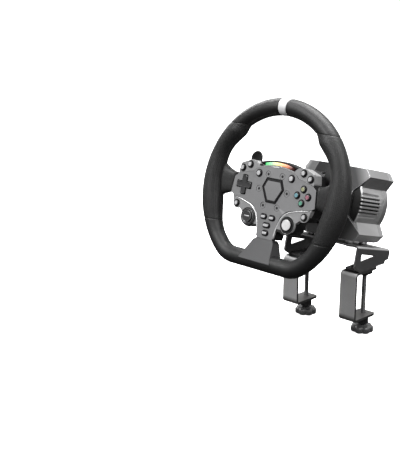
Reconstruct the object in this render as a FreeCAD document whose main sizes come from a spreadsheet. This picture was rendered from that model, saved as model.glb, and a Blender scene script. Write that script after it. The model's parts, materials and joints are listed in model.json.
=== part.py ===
import FreeCAD, Part
import Sketcher
import math
import os
import re

# Desk-mounted racing wheel: round rim with a flat bottom, button hub, direct-drive base and desk
# clamps. Millimetres. +X is the driver's right, +Y points away from the driver over the desk and +Z
# is up. The origin is on the desk's front edge at its top face, midway between the clamps.
V = FreeCAD.Vector

# ---------------------------------------------------------------- driving dimensions
DIMENSIONS = {
    # where the hub face stands, and how far its axis dips towards the desk
    "hub_setback": 123.0, "hub_lift": 144.7, "axis_tilt": 13.87,
    # rim
    "rim_radius": 126.7, "grip_radius": 13.3, "core_radius": 8.0, "rim_forward": 1.5,
    "flat_drop": 108.35, "corner_radius": 40.0, "seam_upper": 93.0, "seam_lower": -62.0,
    "marker_half_angle": 3.4, "post_low": -106.0, "post_high": -92.0,
    # spokes
    "arm_inner": 84.0, "arm_outer": 122.0, "arm_top": 12.0, "arm_bottom": -9.0,
    "arm_front": -3.0, "frame_back": -13.0,
    "frame_front": -10.0, "spoke_back": -14.0, "spoke_front": 0.6, "post_half_width": 11.0,
    # face plate and what is behind it
    "plate_thick": 3.0, "trim_front": -0.5, "trim_back": -3.0, "sheet_gap": 0.05,
    "frame_sheet_back": -3.9, "housing_back": -26.0, "wall": 2.2, "board_front": -8.0,
    "board_thick": 1.6, "screw_circle": 27.6, "screw_head": 4.9, "screw_shank": 1.5,
    "badge_rise": 0.5, "badge_gap": 2.4, "badge_flange": 3.6, "screw_socket": 1.6,
    "socket_depth": 2.0, "head_sink": 0.3,
    # buttons
    "cap_travel": 1.5, "cap_gap": 0.25, "cap_rise": 2.8, "ring_width": 1.5,
    "round_cap": 4.2, "large_cap": 4.6, "guide_cap": 8.6, "guide_ring": 13.3,
    "pill_long": 5.2, "wide_pill": 6.2, "pill_short": 2.9, "flange_lip": 0.5, "flange_top": -4.0,
    "flange_bottom": -5.0, "pad_arm": 14.7, "pad_half_width": 4.75, "pad_rise": 1.8,
    "pad_clearance": 1.0, "pad_pivot": -6.0, "pivot_ball": 1.9, "pivot_pin": 0.9,
    "pivot_reach": 4.4, "ear_inner": 3.1, "ear_outer": 4.2, "ear_half": 1.35, "knob_skirt": 14.2,
    "knob_boss": 8.7, "knob_stem": 3.0, "knob_low": 0.1, "knob_step": 2.2, "knob_top": 4.4,
    "stem_back": -12.0, "running_gap": 0.05,
    # shift paddles
    "paddle_pivot_side": 46.0, "paddle_pivot_back": -33.0, "paddle_barrel": 3.6,
    "paddle_pin": 1.5, "paddle_front": -36.0, "paddle_thick": 3.0, "barrel_low": -10.0,
    "barrel_high": 14.0, "lug_low": -14.3, "lug_high": 18.3, "lug_thick": 4.0,
    # quick release and drive shaft
    "adaptor_radius": 40.0, "neck_radius": 30.0, "neck_back": -99.0, "spigot_radius": 24.0,
    "spigot_front": -75.0, "bore_front": -74.0, "collar_radius": 42.0, "collar_front": -79.7,
    "collar_back": -98.0, "boss_radius": 38.0, "boss_front": -100.0, "boss_back": -134.0,
    "shaft_radius": 7.5, "shaft_back": -210.0,
    # base; distances behind the hub face are negative, as everywhere on the wheel axis
    "motor_radius": 62.5, "motor_front": -138.0, "motor_back": -208.0, "motor_bore": 50.0,
    "motor_shoulder": -147.0, "motor_nose": 51.0, "motor_flat": 54.5, "bearing_radius": 16.0,
    "bearing_width": 9.0, "rotor_radius": 33.4, "stator_inner": 34.0,
    "stack_front": -152.0, "stack_back": -193.0, "nose_front": -125.0,
    "wing_front": -150.0, "base_back": -221.0, "wing_tip": 66.0, "wing_top": 58.3,
    "wing_tip_height": 46.0, "roof_half": 56.8, "waist_half": 49.0, "waist_height": 20.5,
    "root_half": 55.0, "root_height": 26.0, "nose_bore": 42.0, "rear_inset": 1.0,
    "fin_pitch": 5.9, "fin_slot": 3.0, "fin_floor": 59.0, "fin_front": -141.0, "fin_back": -198.0,
    # the nose's slanted facets: how far back they lie on the axis, and their fall to side and up
    "facet_tip": -97.3, "facet_side": 0.635, "facet_up": 0.2715,
    # bracket under the base
    "bracket_half": 73.0, "sheet_thick": 3.0, "deck_top": -64.2, "deck_front": -142.8,
    "deck_back": -234.2, "deck_bend": 4.0, "spacer_radius": 7.0, "bolt_radius": 2.5, "bolt_head": 4.6,
    # desk clamps
    "clamp_centre": 59.55, "clamp_width": 30.7, "clamp_sheet": 4.0, "clamp_throat": 75.2,
    "arm_reach": 56.0, "lower_reach": 55.0, "plan_corner": 7.0, "bend_inner": 2.5,
    "screw_reach": 41.0, "screw_radius": 4.0, "foot_radius": 12.5, "foot_top": -2.2,
    "foot_thick": 4.0, "nut_radius": 9.8, "nut_height": 14.0, "star_radius": 18.85,
    "star_top": -95.5, "star_height": 12.0, "lobe_gap": 4.0, "lobe_setback": 1.2,
    "clamp_bolt_side": 53.0,
}

doc = FreeCAD.newDocument("racing_wheel")
sheet = doc.addObject("Spreadsheet::Sheet", "dims")
for row, (alias, number) in enumerate(DIMENSIONS.items(), start=1):
    sheet.set(f"A{row}", alias)
    sheet.set(f"B{row}", str(number))
    sheet.setAlias(f"B{row}", alias)
doc.recompute()

ALIAS = re.compile(r"(?<![\w.])(" + "|".join(sorted(DIMENSIONS, key=len, reverse=True)) + r")(?!\w)")


def size(alias):
    """The number in the sheet's cell of that name."""
    return float(sheet.get(alias))


def cell(formula):
    """The formula as an expression on the sheet's cells."""
    return ALIAS.sub(r"dims.\1", str(formula))


def bind(thing, **formulas):
    """Tie properties to the sheet; place_x, place_y and place_z are the object's position."""
    for name, formula in formulas.items():
        path = name.replace("place_", "Placement.Base.")
        thing.setExpression(path, cell(formula))
    return thing


# ---------------------------------------------------------------- building blocks
def cylinder(radius, low, high, across=0, up=0):
    """A cylinder along the local Z axis from low to high."""
    thing = doc.addObject("Part::Cylinder", "cylinder")
    return bind(thing, Radius=radius, Height=f"({high}) - ({low})",
                place_x=across, place_y=up, place_z=low)


def cross_cylinder(radius, start, end, along, centre):
    """A cylinder along the local X or Y axis from start to end, through centre."""
    thing = doc.addObject("Part::Cylinder", "cross_cylinder")
    turn = FreeCAD.Rotation(V(0, 1, 0), 90) if along == "X" else FreeCAD.Rotation(V(1, 0, 0), -90)
    thing.Placement.Rotation = turn
    first = {"X": "place_x", "Y": "place_y"}[along]
    rest = {"X": ("place_y", "place_z"), "Y": ("place_x", "place_z")}[along]
    places = {first: start, rest[0]: centre[0], rest[1]: centre[1]}
    return bind(thing, Radius=radius, Height=f"({end}) - ({start})", **places)


def block(left, right, bottom, top, low, high):
    """A rectangular block between the given X, Y and Z limits."""
    thing = doc.addObject("Part::Box", "block")
    return bind(thing, Length=f"({right}) - ({left})", Width=f"({top}) - ({bottom})",
                Height=f"({high}) - ({low})", place_x=left, place_y=bottom, place_z=low)


def ball(radius, across, up, depth):
    thing = doc.addObject("Part::Sphere", "ball")
    return bind(thing, Radius=radius, place_x=across, place_y=up, place_z=depth)


def fuse(*things):
    joined = doc.addObject("Part::MultiFuse", "joined")
    joined.Shapes = list(things)
    joined.Refine = True
    return joined


def cut(base, *tools):
    remains = doc.addObject("Part::Cut", "remains")
    remains.Base = base
    remains.Tool = tools[0] if len(tools) == 1 else fuse(*tools)
    return remains


def common(first, second):
    shared = doc.addObject("Part::Common", "shared")
    shared.Base = first
    shared.Tool = second
    return shared


def group(*things):
    """Separate solids that share one node."""
    together = doc.addObject("Part::Compound", "together")
    together.Links = list(things)
    return together


def path(*stops):
    """Edges through the stops; a stop of two points is an arc through the first to the second."""
    edges = []
    here = stops[0]
    for stop in stops[1:]:
        curved = isinstance(stop[0], tuple)
        through, there = stop if curved else (None, stop)
        edges.append((here, through, there))
        here = there
    return edges


def flip(point):
    return None if point is None else (-point[0], point[1])


def mirrored(edges):
    """The same edges on the other side of the local Y axis, run backwards."""
    return [(flip(end), flip(through), flip(start)) for start, through, end in reversed(edges)]


def both_sides(*stops):
    """A closed outline from its right half, which starts and ends on the centre line."""
    right = path(*stops)
    return right + mirrored(right)


def closed(*stops):
    return path(*stops, stops[0])


def rounded_bar(half_long, half_short, across=0.0, up=0.0):
    """A level bar with round ends."""
    straight = half_long - half_short
    return closed((across - straight, up - half_short), (across + straight, up - half_short),
                  ((across + half_long, up), (across + straight, up + half_short)),
                  (across - straight, up + half_short),
                  ((across - half_long, up), (across - straight, up - half_short)))[:-1]


def draw(sketch, edges):
    """Put the outline into a sketch and tie its corners together."""
    first = sketch.GeometryCount
    for start, through, end in edges:
        points = [V(*point, 0) for point in (start, through, end) if point is not None]
        edge = Part.LineSegment(*points) if len(points) == 2 else Part.Arc(*points)
        sketch.addGeometry(edge, False)
    for index, (start, through, end) in enumerate(edges):
        following = (index + 1) % len(edges)
        ends = [2 if not arc_runs_back(edges[index]) else 1,
                1 if not arc_runs_back(edges[following]) else 2]
        sketch.addConstraint(Sketcher.Constraint(
            "Coincident", first + index, ends[0], first + following, ends[1]))


def arc_runs_back(edge):
    """True for an arc drawn clockwise, whose sketch start is its end."""
    start, through, end = edge
    if through is None:
        return False
    turn = ((through[0] - start[0]) * (end[1] - through[1])
            - (through[1] - start[1]) * (end[0] - through[0]))
    return turn < 0


TURNS = {"XY": FreeCAD.Rotation(), "YZ": FreeCAD.Rotation(V(1, 1, 1), 120)}
NORMALS = {"XY": V(0, 0, 1), "YZ": V(1, 0, 0)}


def prism(edges, low, high, plane="XY"):
    """The outline pushed from low to high along the plane's normal."""
    sketch = doc.addObject("Sketcher::SketchObject", "outline")
    sketch.Placement.Rotation = TURNS[plane]
    draw(sketch, edges)
    bind(sketch, **{"place_z" if plane == "XY" else "place_x": low})
    solid = doc.addObject("Part::Extrusion", "prism")
    solid.Base = sketch
    solid.DirMode = "Custom"
    solid.Dir = NORMALS[plane]
    solid.Solid = True
    return bind(solid, LengthFwd=f"({high}) - ({low})")


def body_sketch(body, plane="XY_Plane"):
    sketch = body.newObject("Sketcher::SketchObject", "sketch")
    origin = next(f for f in body.Origin.OriginFeatures if f.Role == plane)
    sketch.AttachmentSupport = (origin, [""])
    sketch.MapMode = "FlatFace"
    return sketch


def circle(sketch, radius, across=0.0, up=0.0):
    """A circle whose radius follows the sheet."""
    index = sketch.addGeometry(Part.Circle(V(across, up, 0), V(0, 0, 1), 1.0), False)
    place = sketch.addConstraint(Sketcher.Constraint("Radius", index, 1.0))
    sketch.setExpression(f"Constraints[{place}]", cell(radius))
    return index


def pocket_through(body, sketch, name="pocket"):
    pocket = body.newObject("PartDesign::Pocket", name)
    pocket.Profile = sketch
    pocket.Type = 1
    pocket.Midplane = True
    return pocket


def padded_body(edges, height, name="body"):
    """A PartDesign body: the outline padded upwards from the local XY plane."""
    body = doc.addObject("PartDesign::Body", name)
    sketch = body_sketch(body)
    draw(sketch, edges)
    pad = body.newObject("PartDesign::Pad", "pad")
    pad.Profile = sketch
    pad.setExpression("Length", cell(height))
    return body


# ---------------------------------------------------------------- frames and finished nodes
tilt = math.radians(size("axis_tilt"))
WHEEL = FreeCAD.Placement(V(0, -size("hub_setback"), size("hub_lift")),
                          FreeCAD.Rotation(V(1, 0, 0), 90 - size("axis_tilt")))
DESK = FreeCAD.Placement()
NODES = []


def node(label, thing, frame=WHEEL, offset=(0, 0, 0)):
    """Name a finished sub-part and put it in its place."""
    thing.Placement = frame.multiply(FreeCAD.Placement(V(*offset), FreeCAD.Rotation()))
    thing.Label = label
    NODES.append(thing)
    return thing


def wheel_point(over_desk, height):
    """A point beside the desk frame's YZ plane, as local Y and Z of the wheel frame."""
    away = over_desk + size("hub_setback")
    rise = height - size("hub_lift")
    return (away * math.sin(tilt) + rise * math.cos(tilt),
            rise * math.sin(tilt) - away * math.cos(tilt))


SIDES = (("left", -1), ("right", 1))

# ---------------------------------------------------------------- rim
corner_reach = size("rim_radius") - size("corner_radius")
corner_up = size("corner_radius") - size("flat_drop")
corner_side = math.sqrt(corner_reach ** 2 - corner_up ** 2)
corner_angle = math.degrees(math.atan2(corner_up, corner_side))


def torus_piece(major, minor, start, sweep, across=0.0, up=0.0):
    """Part of a tube bent round a circle, from the start angle through the sweep, in degrees."""
    thing = doc.addObject("Part::Torus", "tube")
    thing.Placement.Rotation = FreeCAD.Rotation(V(0, 0, 1), start)
    bind(thing, Radius1=major, Radius2=minor, place_z="rim_forward")
    thing.Angle3 = sweep
    thing.Placement.Base.x = across
    thing.Placement.Base.y = up
    return thing


def rim_arc(minor, start, end):
    return torus_piece("rim_radius", minor, start, end - start)


def rim_bottom(minor, start):
    """The rim from the start angle on the right, round the flat bottom, to the same on the left."""
    flat = cross_cylinder(minor, -corner_side, corner_side, "X", ("-flat_drop", "rim_forward"))
    pieces = [flat, rim_arc(minor, corner_angle, start),
              rim_arc(minor, 180 - start, 180 - corner_angle)]
    for angle, side in ((-90, 1), (180 - corner_angle, -1)):
        pieces.append(torus_piece("corner_radius", minor, angle, 90 + corner_angle,
                                  side * corner_side, corner_up))
    return fuse(*pieces)


def leather(start, end):
    return cut(rim_arc("grip_radius", start, end), rim_arc("core_radius", start, end))


def side_arm(side):
    ends = ("arm_inner", "arm_outer") if side > 0 else ("-arm_outer", "-arm_inner")
    return block(*ends, "arm_bottom", "arm_top", "frame_back + 2", "arm_front")


def post():
    """The short riser that ties the lower arm to the flat of the rim."""
    return block("-post_half_width", "post_half_width", "post_low", "post_high", "frame_back", -1)


SPIDER_RIGHT = ((0, 26), (34, 24), (62, 12), (92, 12), (92, -9), (62, -9), (30, -22), (16, -40),
                (11, -60), (11, -106), (0, -106))
spider = prism(both_sides(*SPIDER_RIGHT), "frame_back", "frame_front")
core_ring = fuse(rim_arc("core_radius", 0, 180), rim_bottom("core_radius", 0))


def hexagon(radius, across=0.0, up=0.0):
    """The six corners of a hexagon round a point."""
    return [(across + radius * math.cos(math.radians(a)), up + radius * math.sin(math.radians(a)))
            for a in range(0, 360, 60)]


screw_places = hexagon(size("screw_circle"))
shank_holes = [cylinder("screw_shank + running_gap", -20, 0, x, y) for x, y in screw_places]
node("rim_core", cut(fuse(core_ring, spider, side_arm(1), side_arm(-1), post()), *shank_holes))



def between_seams(side):
    """The band that holds one grip: the seams of the leather are level cuts."""
    across = (0, 150) if side > 0 else (-150, 0)
    return block(*across, "seam_lower", "seam_upper", -30, 30)


half = size("marker_half_angle")
node("right_grip", cut(common(leather(-40, 60), between_seams(1)), side_arm(1)))
node("left_grip", cut(common(leather(120, 220), between_seams(-1)), side_arm(-1)))
node("rim_smooth_leather", group(
    cut(leather(30, 90 - half), between_seams(1)), cut(leather(90 + half, 150), between_seams(-1)),
    cut(rim_bottom("grip_radius", -15), rim_bottom("core_radius", -15), post(), between_seams(1),
        between_seams(-1))))
node("top_marker", leather(90 - half, 90 + half))


SPOKE_RIGHT = ((83.6, 18), (98, 25), (113, 31), (122, 31), (122, -29), (113, -27), (98, -22),
               (84.4, -14))


def side_spoke(side):
    wedge = prism(closed(*[(side * x, y) for x, y in SPOKE_RIGHT]), "spoke_back", "spoke_front")
    ring = rim_arc("grip_radius", -70, 250)
    sheet_end = ("78", "93") if side > 0 else ("-93", "-78")
    inlet = block(*sheet_end, "arm_bottom", "arm_top", "frame_back", "frame_front")
    return cut(wedge, ring, side_arm(side), inlet)


def trimmed_spoke(side):
    """Only the part of the spoke that lies inside the rim."""
    return common(side_spoke(side), cylinder("rim_radius - 5", "spoke_back", "spoke_front"))


node("side_spoke_covers", group(trimmed_spoke(-1), trimmed_spoke(1)))

PANEL_RIGHT = ((0, -73.2), (16, -73.2), (20, -77), (31.5, -109), (0, -109))
PANEL_SIDE = ((-73, -14), (-73, -0.3), (-107.6, 16.3), (-109, 15.8), (-109, -8), (-96, -14))
panel_plan = prism(both_sides(*PANEL_RIGHT), -16, 18)
panel_side = prism(closed(*PANEL_SIDE), -40, 40, "YZ")
panel_tube = cross_cylinder("grip_radius", -60, 60, "X", ("-flat_drop", "rim_forward"))
panel_beam = block("-post_half_width", "post_half_width", -110, -70, "frame_back", "frame_front")
node("bottom_spoke_cover", cut(common(panel_plan, panel_side), panel_tube, panel_beam, post()))

# ---------------------------------------------------------------- face plate and its surround
PLATE_RIGHT = ((0, 36), ((20, 34.3), (40, 29)), (44, 25), (73, 18), (80, 12), (83, -13.5),
               (78, -16.5), (44, -23.5), ((27.5, -31), (20.5, -43)), (16.5, -61), (15.5, -73), (0, -73))
ROUND_BUTTONS = {
    "top_left_outer_button": (-66.7, 27.0), "top_left_inner_button": (-52.5, 34.0),
    "top_right_inner_button": (52.5, 34.0), "top_right_outer_button": (66.7, 27.0),
    "action_button_top": (57.7, 11.1), "action_button_bottom": (57.7, -9.5),
    "action_button_left": (47.4, 0.8), "action_button_right": (68.0, 0.8),
    "lower_left_button": (-67.2, -28.8), "lower_right_button": (67.2, -28.8),
}
LARGE_BUTTONS = {"left_round_button": (-32.0, 23.0), "right_round_button": (32.0, 23.0)}
PILL_BUTTONS = {
    "left_menu_button": (-8.2, -40.2, "pill_long"), "right_menu_button": (8.2, -40.2, "pill_long"),
    "upper_centre_button": (0.0, -52.6, "wide_pill"),
    "lower_centre_button": (0.0, -64.4, "pill_long"),
}
GUIDE = (38.9, -45.3)
KNOB = (-38.9, -45.3)
CROSS = (-58.5, 1.5)
on_plate = [place for place in ROUND_BUTTONS.values() if -20 < place[1] < 20]
on_trim = [place for place in ROUND_BUTTONS.values() if place not in on_plate]


def cross_outline(reach, half_width):
    """A plus sign with chamfered arm ends, centred on the direction pad."""
    nick = 1.6
    arm = [(half_width, half_width), (reach - nick, half_width), (reach, half_width - nick),
           (reach, nick - half_width), (reach - nick, -half_width)]
    points = []
    for quarter in range(4):
        c, s = ((1, 0), (0, -1), (-1, 0), (0, 1))[quarter]
        points += [(CROSS[0] + c * x - s * y, CROSS[1] + s * x + c * y) for x, y in arm]
    return closed(*points)


def badge_outline(grow):
    """The centre badge's outline, grown outwards by about the given amount."""
    return both_sides((0, 16.1 + grow), (13.3 + 0.7 * grow, 16.1 + grow), (18.9 + 1.1 * grow, 4),
                      (8 + 0.6 * grow, -16.1 - grow), (0, -16.1 - grow))


def pill_outline(button, grow):
    """A pill button's outline, grown by the given amount."""
    x, y, reach = button
    return rounded_bar(size(reach) + grow, size("pill_short") + grow, x, y)


plate = padded_body(both_sides(*PLATE_RIGHT), "plate_thick", "plate_body")
openings = body_sketch(plate)
for place in on_plate:
    circle(openings, "round_cap + ring_width + cap_gap", *place)
for place in LARGE_BUTTONS.values():
    circle(openings, "large_cap + ring_width + cap_gap", *place)
draw(openings, badge_outline(size("badge_gap")))
draw(openings, cross_outline(size("pad_arm") + size("pad_clearance"),
                             size("pad_half_width") + size("pad_clearance")))
pill_grow = size("ring_width") + size("cap_gap")
for button in PILL_BUTTONS.values():
    draw(openings, pill_outline(button, pill_grow))
pocket_through(plate, openings)
screw_seat = body_sketch(plate)
circle(screw_seat, "screw_head + running_gap", size("screw_circle"), 0)
seat = pocket_through(plate, screw_seat, "screw_seat")
seats = plate.newObject("PartDesign::PolarPattern", "screw_seats")
seats.Originals = [seat]
seats.Axis = (screw_seat, ["N_Axis"])
seats.Angle = 360
seats.Occurrences = 6
plate.Tip = seats
node("face_plate", plate, offset=(0, 0, -size("plate_thick")))

UPPER_TRIM_RIGHT = ((0, 38.3), ((18, 36.95), (34, 33.4)), (36.7, 36.7), (41, 40), (52.2, 41.7),
                    (71.7, 34.4), (74.4, 20.6), (73.2, 18.3), (44.2, 25.35), (40.2, 29.3),
                    ((20, 34.62), (0, 36.3)))
LOWER_TRIM_RIGHT = ((78.4, -17.1), (44.1, -24.1), ((28.0, -31.4), (21.0, -43.2)), (17.2, -58),
                    (27, -58), ((42, -60.0), (53.2, -40.6)), (60.5, -34.8), ((69.5, -36.0), (75.0, -27)))
upper_trim_plan = both_sides(*UPPER_TRIM_RIGHT)
lower_trim_right = closed(*LOWER_TRIM_RIGHT)
trim_holes = [cylinder("round_cap + ring_width + cap_gap", -6, 2, *place) for place in on_trim]
trim_holes.append(cylinder("guide_ring + running_gap", -6, 2, *GUIDE))
trim_holes.append(cylinder("knob_stem + running_gap", -6, 2, *KNOB))
trims = [cut(prism(outline, "trim_back", "trim_front"), *holes)
         for outline, holes in (
             (upper_trim_plan, trim_holes[:4]),
             (lower_trim_right, [trim_holes[5], trim_holes[6]]),
             (mirrored(lower_trim_right), [trim_holes[4], trim_holes[7]]))]
node("light_trims", group(*trims))

seat_front = "trim_back - sheet_gap"
badge = fuse(prism(badge_outline(0), seat_front, "badge_rise"),
             prism(badge_outline(size("badge_flange")), "frame_sheet_back", seat_front))
node("centre_badge", badge)

# ---------------------------------------------------------------- button frame, housing, board
HOUSING_RIGHT = ((0, 35.6), ((20, 33.9), (34, 31.2)), (37.5, 36.6), (41.2, 39.4), (52, 41),
                 (71.1, 33.9), (73.7, 20.2), (79.3, 11.6), (82.3, -13.2), (77.6, -17.6), (74.4, -27),
                 ((69.2, -35.4), (60.8, -34.2)), (53.2, -39.8), ((41.8, -59.4), (27.2, -57.4)),
                 (20.4, -58.4), (16.2, -61.2), (15, -72.4), (0, -72.4))


def cap_radius(name):
    if name in LARGE_BUTTONS:
        return "large_cap"
    return "guide_cap" if name == "guide_button" else "round_cap"


ROUND_CAPS = {**ROUND_BUTTONS, **LARGE_BUTTONS, "guide_button": GUIDE}


def pill(button, grow, low, high):
    """A pill-shaped pin with round ends, along the wheel's axis."""
    return prism(pill_outline(button, grow), low, high)


rings, cap_holes = [], []
for name, place in ROUND_CAPS.items():
    radius = cap_radius(name)
    outer = "guide_ring" if name == "guide_button" else f"{radius} + ring_width"
    rings.append(cylinder(outer, "frame_sheet_back", "trim_front + 0.3", *place))
    cap_holes.append(cylinder(f"{radius} + cap_gap", -8, 2, *place))
for button in PILL_BUTTONS.values():
    rings.append(pill(button, size("ring_width"), "frame_sheet_back", "trim_front + 0.3"))
    cap_holes.append(pill(button, size("cap_gap"), -8, 2))
cross_hole = prism(cross_outline(size("pad_arm") + size("pad_clearance"),
                                 size("pad_half_width") + size("pad_clearance")), -8, 2)
badge_hole = prism(badge_outline(size("badge_flange") + 0.2), -8, 2)
stem_hole = cylinder("knob_stem + running_gap", -8, 2, *KNOB)
frame_sheet = prism(both_sides(*HOUSING_RIGHT), "frame_sheet_back", seat_front)
node("button_frame", cut(fuse(frame_sheet, *rings), *cap_holes, cross_hole, badge_hole, stem_hole,
                         *[cylinder("screw_shank + running_gap", -8, 2, x, y)
                           for x, y in screw_places]))


def paddle_lug(side, low, high):
    across = side * size("paddle_pivot_side")
    return block(across - 4, across + 4, low, high, "paddle_pivot_back - 3", "housing_back")


def pivot_bar(side, radius, low, high):
    across = side * size("paddle_pivot_side")
    return cross_cylinder(radius, low, high, "Y", (across, "paddle_pivot_back"))


shell_outline = prism(both_sides(*HOUSING_RIGHT), "housing_back", "frame_sheet_back - sheet_gap")
inner_sketch = doc.addObject("Part::Offset2D", "inner_outline")
inner_sketch.Source = shell_outline.Base
inner_sketch.setExpression("Value", cell("-wall"))
inner_sketch.Join = 0
hollow = doc.addObject("Part::Extrusion", "hollow")
hollow.Base = inner_sketch
hollow.DirMode = "Custom"
hollow.Dir = V(0, 0, 1)
hollow.Solid = True
bind(hollow, LengthFwd="-housing_back", place_z="wall")
pods = [block(*side_limits, 16, 33, "housing_back - 4", "housing_back")
        for side_limits in ((58, 72), (-72, -58))]
lugs = [paddle_lug(side, *limits) for _, side in SIDES
        for limits in (("lug_high - lug_thick", "lug_high"), ("lug_low", "lug_low + lug_thick"))]
arm_slots = [block(*ends, "arm_bottom - 0.2", "arm_top + 0.2", "frame_back - 0.2", "frame_sheet_back")
             for ends in ((70, 92), (-92, -70))]
post_slot = block("-post_half_width - 0.2", "post_half_width + 0.2", -80, -60,
                  "frame_back - 0.2", "frame_front + 0.2")
pin_holes = [pivot_bar(side, "paddle_pin", -20, 20) for _, side in SIDES]
lip_room = [cylinder("round_cap + flange_lip + 0.2", -9, 0, *place)
            for place in ROUND_BUTTONS.values()]
node("hub_housing", cut(fuse(shell_outline, *pods, *lugs), hollow, *arm_slots, post_slot, *pin_holes,
                        *lip_room))

BOARD_RIGHT = ((0, 30), (30, 27), (66, 13), (74, 8), (76, -10), (40, -20), (24, -28), (17, -42),
               (12, -68), (0, -68))
board = prism(both_sides(*BOARD_RIGHT), "board_front - board_thick", "board_front")
pivot_level = (CROSS[1], "pad_pivot")


def pad_ear(side, along):
    """The solid block that takes one end of a pivot pin, before its hole is made."""
    inner, outer, half = (size(a) for a in ("ear_inner", "ear_outer", "ear_half"))
    low, high = sorted((side * inner, side * outer))
    x, y = CROSS
    if along == "X":
        return block(x + low, x + high, y - half, y + half, "board_front", f"pad_pivot + {half}")
    return block(x - half, x + half, y + low, y + high, f"pad_pivot - {half}",
                 "pad_pivot + pivot_ball + 0.2")


def pivot_pin(radius, reach, along):
    """A pin through the pad's pivot, along the wheel's X or Y axis."""
    middle, centre = (CROSS[0], pivot_level) if along == "X" else (CROSS[1], (CROSS[0], "pad_pivot"))
    return cross_cylinder(radius, f"{middle} - ({reach})", f"{middle} + {reach}", along, centre)


board_ears = [cut(pad_ear(side, "X"), pivot_pin("pivot_pin + running_gap", "pivot_reach + 1", "X"))
              for _, side in SIDES]
node("circuit_board", fuse(cut(board, *[cylinder("screw_shank + 0.8", -20, 0, x, y)
                                        for x, y in screw_places]), *board_ears))
screws = []
for x, y in screw_places:
    head = cylinder("screw_head", "-plate_thick", "-head_sink", x, y)
    socket = prism(closed(*hexagon(size("screw_socket"), x, y)), "-socket_depth", 0)
    screws.append(cut(fuse(head, cylinder("screw_shank", "frame_back", "-plate_thick", x, y)), socket))
node("plate_screws", group(*screws))

LIGHT_RIGHT = ((0, 44.4), ((14, 43.5), (27, 41.2)), (26, 35.5), ((13, 37.7), (0, 38.4)))
HOOD_RIGHT = ((0, 46.2), ((18, 45), (38, 40.4)), (33.8, 33.6), ((17, 37.2), (0, 38.4)))
node("led_bar", group(prism(both_sides(*LIGHT_RIGHT), -11, -3.6),
                      prism(both_sides(*HOOD_RIGHT), -20, -11.05)))

# ---------------------------------------------------------------- buttons, pad, knob, paddles
for name, place in ROUND_CAPS.items():
    radius = cap_radius(name)
    stem = cylinder(radius, "flange_bottom", "cap_rise", *place)
    lip = cylinder(f"{radius} + flange_lip", "flange_bottom", "flange_top", *place)
    node(name, fuse(stem, lip))
for name, button in PILL_BUTTONS.items():
    node(name, fuse(pill(button, 0, "flange_bottom", "cap_rise"),
                    pill(button, size("flange_lip"), "flange_bottom", "flange_top")))
pad_bottom = "pad_pivot + pivot_ball + 0.1"
pad_ears = [pad_ear(side, "Y") for _, side in SIDES]
pad_top = prism(cross_outline(size("pad_arm"), size("pad_half_width")), pad_bottom, "pad_rise")
node("direction_pad", cut(fuse(pad_top, *pad_ears),
                          pivot_pin("pivot_pin + running_gap", "pivot_reach + 1", "Y")))
node("pad_pivot", fuse(ball("pivot_ball", *CROSS, "pad_pivot"),
                       *[pivot_pin("pivot_pin", "pivot_reach", along) for along in ("X", "Y")]))
node("rotary_knob", fuse(cylinder("knob_skirt", "knob_low", "knob_step", *KNOB),
                         cylinder("knob_boss", "knob_step", "knob_top", *KNOB),
                         cylinder("knob_stem", "stem_back", "knob_low", *KNOB)))

PADDLE = ((42.6, -10), (42.6, 14), (50.6, 14), (60, 22), (64.5, 44), ((66.5, 52.5), (72.5, 56.6)),
          ((79.5, 55), (85.5, 42)), (86.5, 26), (85, 0), ((82, -11.5), (72, -14)), (56, -13),
          (50.6, -10))
for name, side in SIDES:
    outline = closed(*PADDLE) if side > 0 else mirrored(closed(*PADDLE))
    blade = prism(outline, "paddle_front - paddle_thick", "paddle_front")
    barrel = pivot_bar(side, "paddle_barrel", "barrel_low", "barrel_high")
    node(f"{name}_paddle", cut(fuse(blade, barrel), pivot_bar(side, "paddle_pin + 0.06", -20, 20)))
node("paddle_pins", group(*[pivot_bar(side, "paddle_pin", "lug_low", "lug_high") for _, side in SIDES]))

# ---------------------------------------------------------------- quick release, shaft, motor
adaptor = cylinder("adaptor_radius", "bore_front", "housing_back")
neck = cut(cylinder("neck_radius", "neck_back", "bore_front"),
           cylinder("spigot_radius + sheet_gap", "neck_back - 1", 0))
node("quick_release_hub", group(adaptor, neck))
node("quick_release_collar", cut(cylinder("collar_radius", "collar_back", "collar_front"),
                                 cylinder("neck_radius + running_gap", -120, -60)))
node("drive_shaft", fuse(cylinder("spigot_radius", "boss_front", "spigot_front"),
                         cylinder("boss_radius", "boss_back", "boss_front"),
                         cylinder("shaft_radius", "shaft_back", "boss_back")))
node("rotor", cut(cylinder("rotor_radius", "stack_back + 1", "stack_front - 1"),
                  cylinder("shaft_radius", -220, -100)))
stator_height = "stack_front - stack_back"
stator = doc.addObject("PartDesign::Body", "stator_body")
stator_ring = body_sketch(stator)
circle(stator_ring, "motor_bore - sheet_gap")
circle(stator_ring, "stator_inner")
stator_pad = stator.newObject("PartDesign::Pad", "stator_pad")
stator_pad.Profile = stator_ring
stator_pad.setExpression("Length", cell(stator_height))
slot_sketch = body_sketch(stator)
draw(slot_sketch, closed((36, -2.6), (45, -3.6), (45, 3.6), (36, 2.6)))
slot = pocket_through(stator, slot_sketch, "winding_slot")
slots = stator.newObject("PartDesign::PolarPattern", "winding_slots")
slots.Originals = [slot]
slots.Axis = (slot_sketch, ["N_Axis"])
slots.Angle = 360
slots.Occurrences = 12
stator.Tip = slots
node("stator", stator, offset=(0, 0, size("stack_back")))

front_seat = "motor_front - bearing_width"
bearings = [cut(cylinder("bearing_radius", low, f"{low} + bearing_width"),
                cylinder("shaft_radius + 0.06", -230, -100))
            for low in (front_seat, "motor_back - 1")]
node("bearings", group(*bearings))


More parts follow.
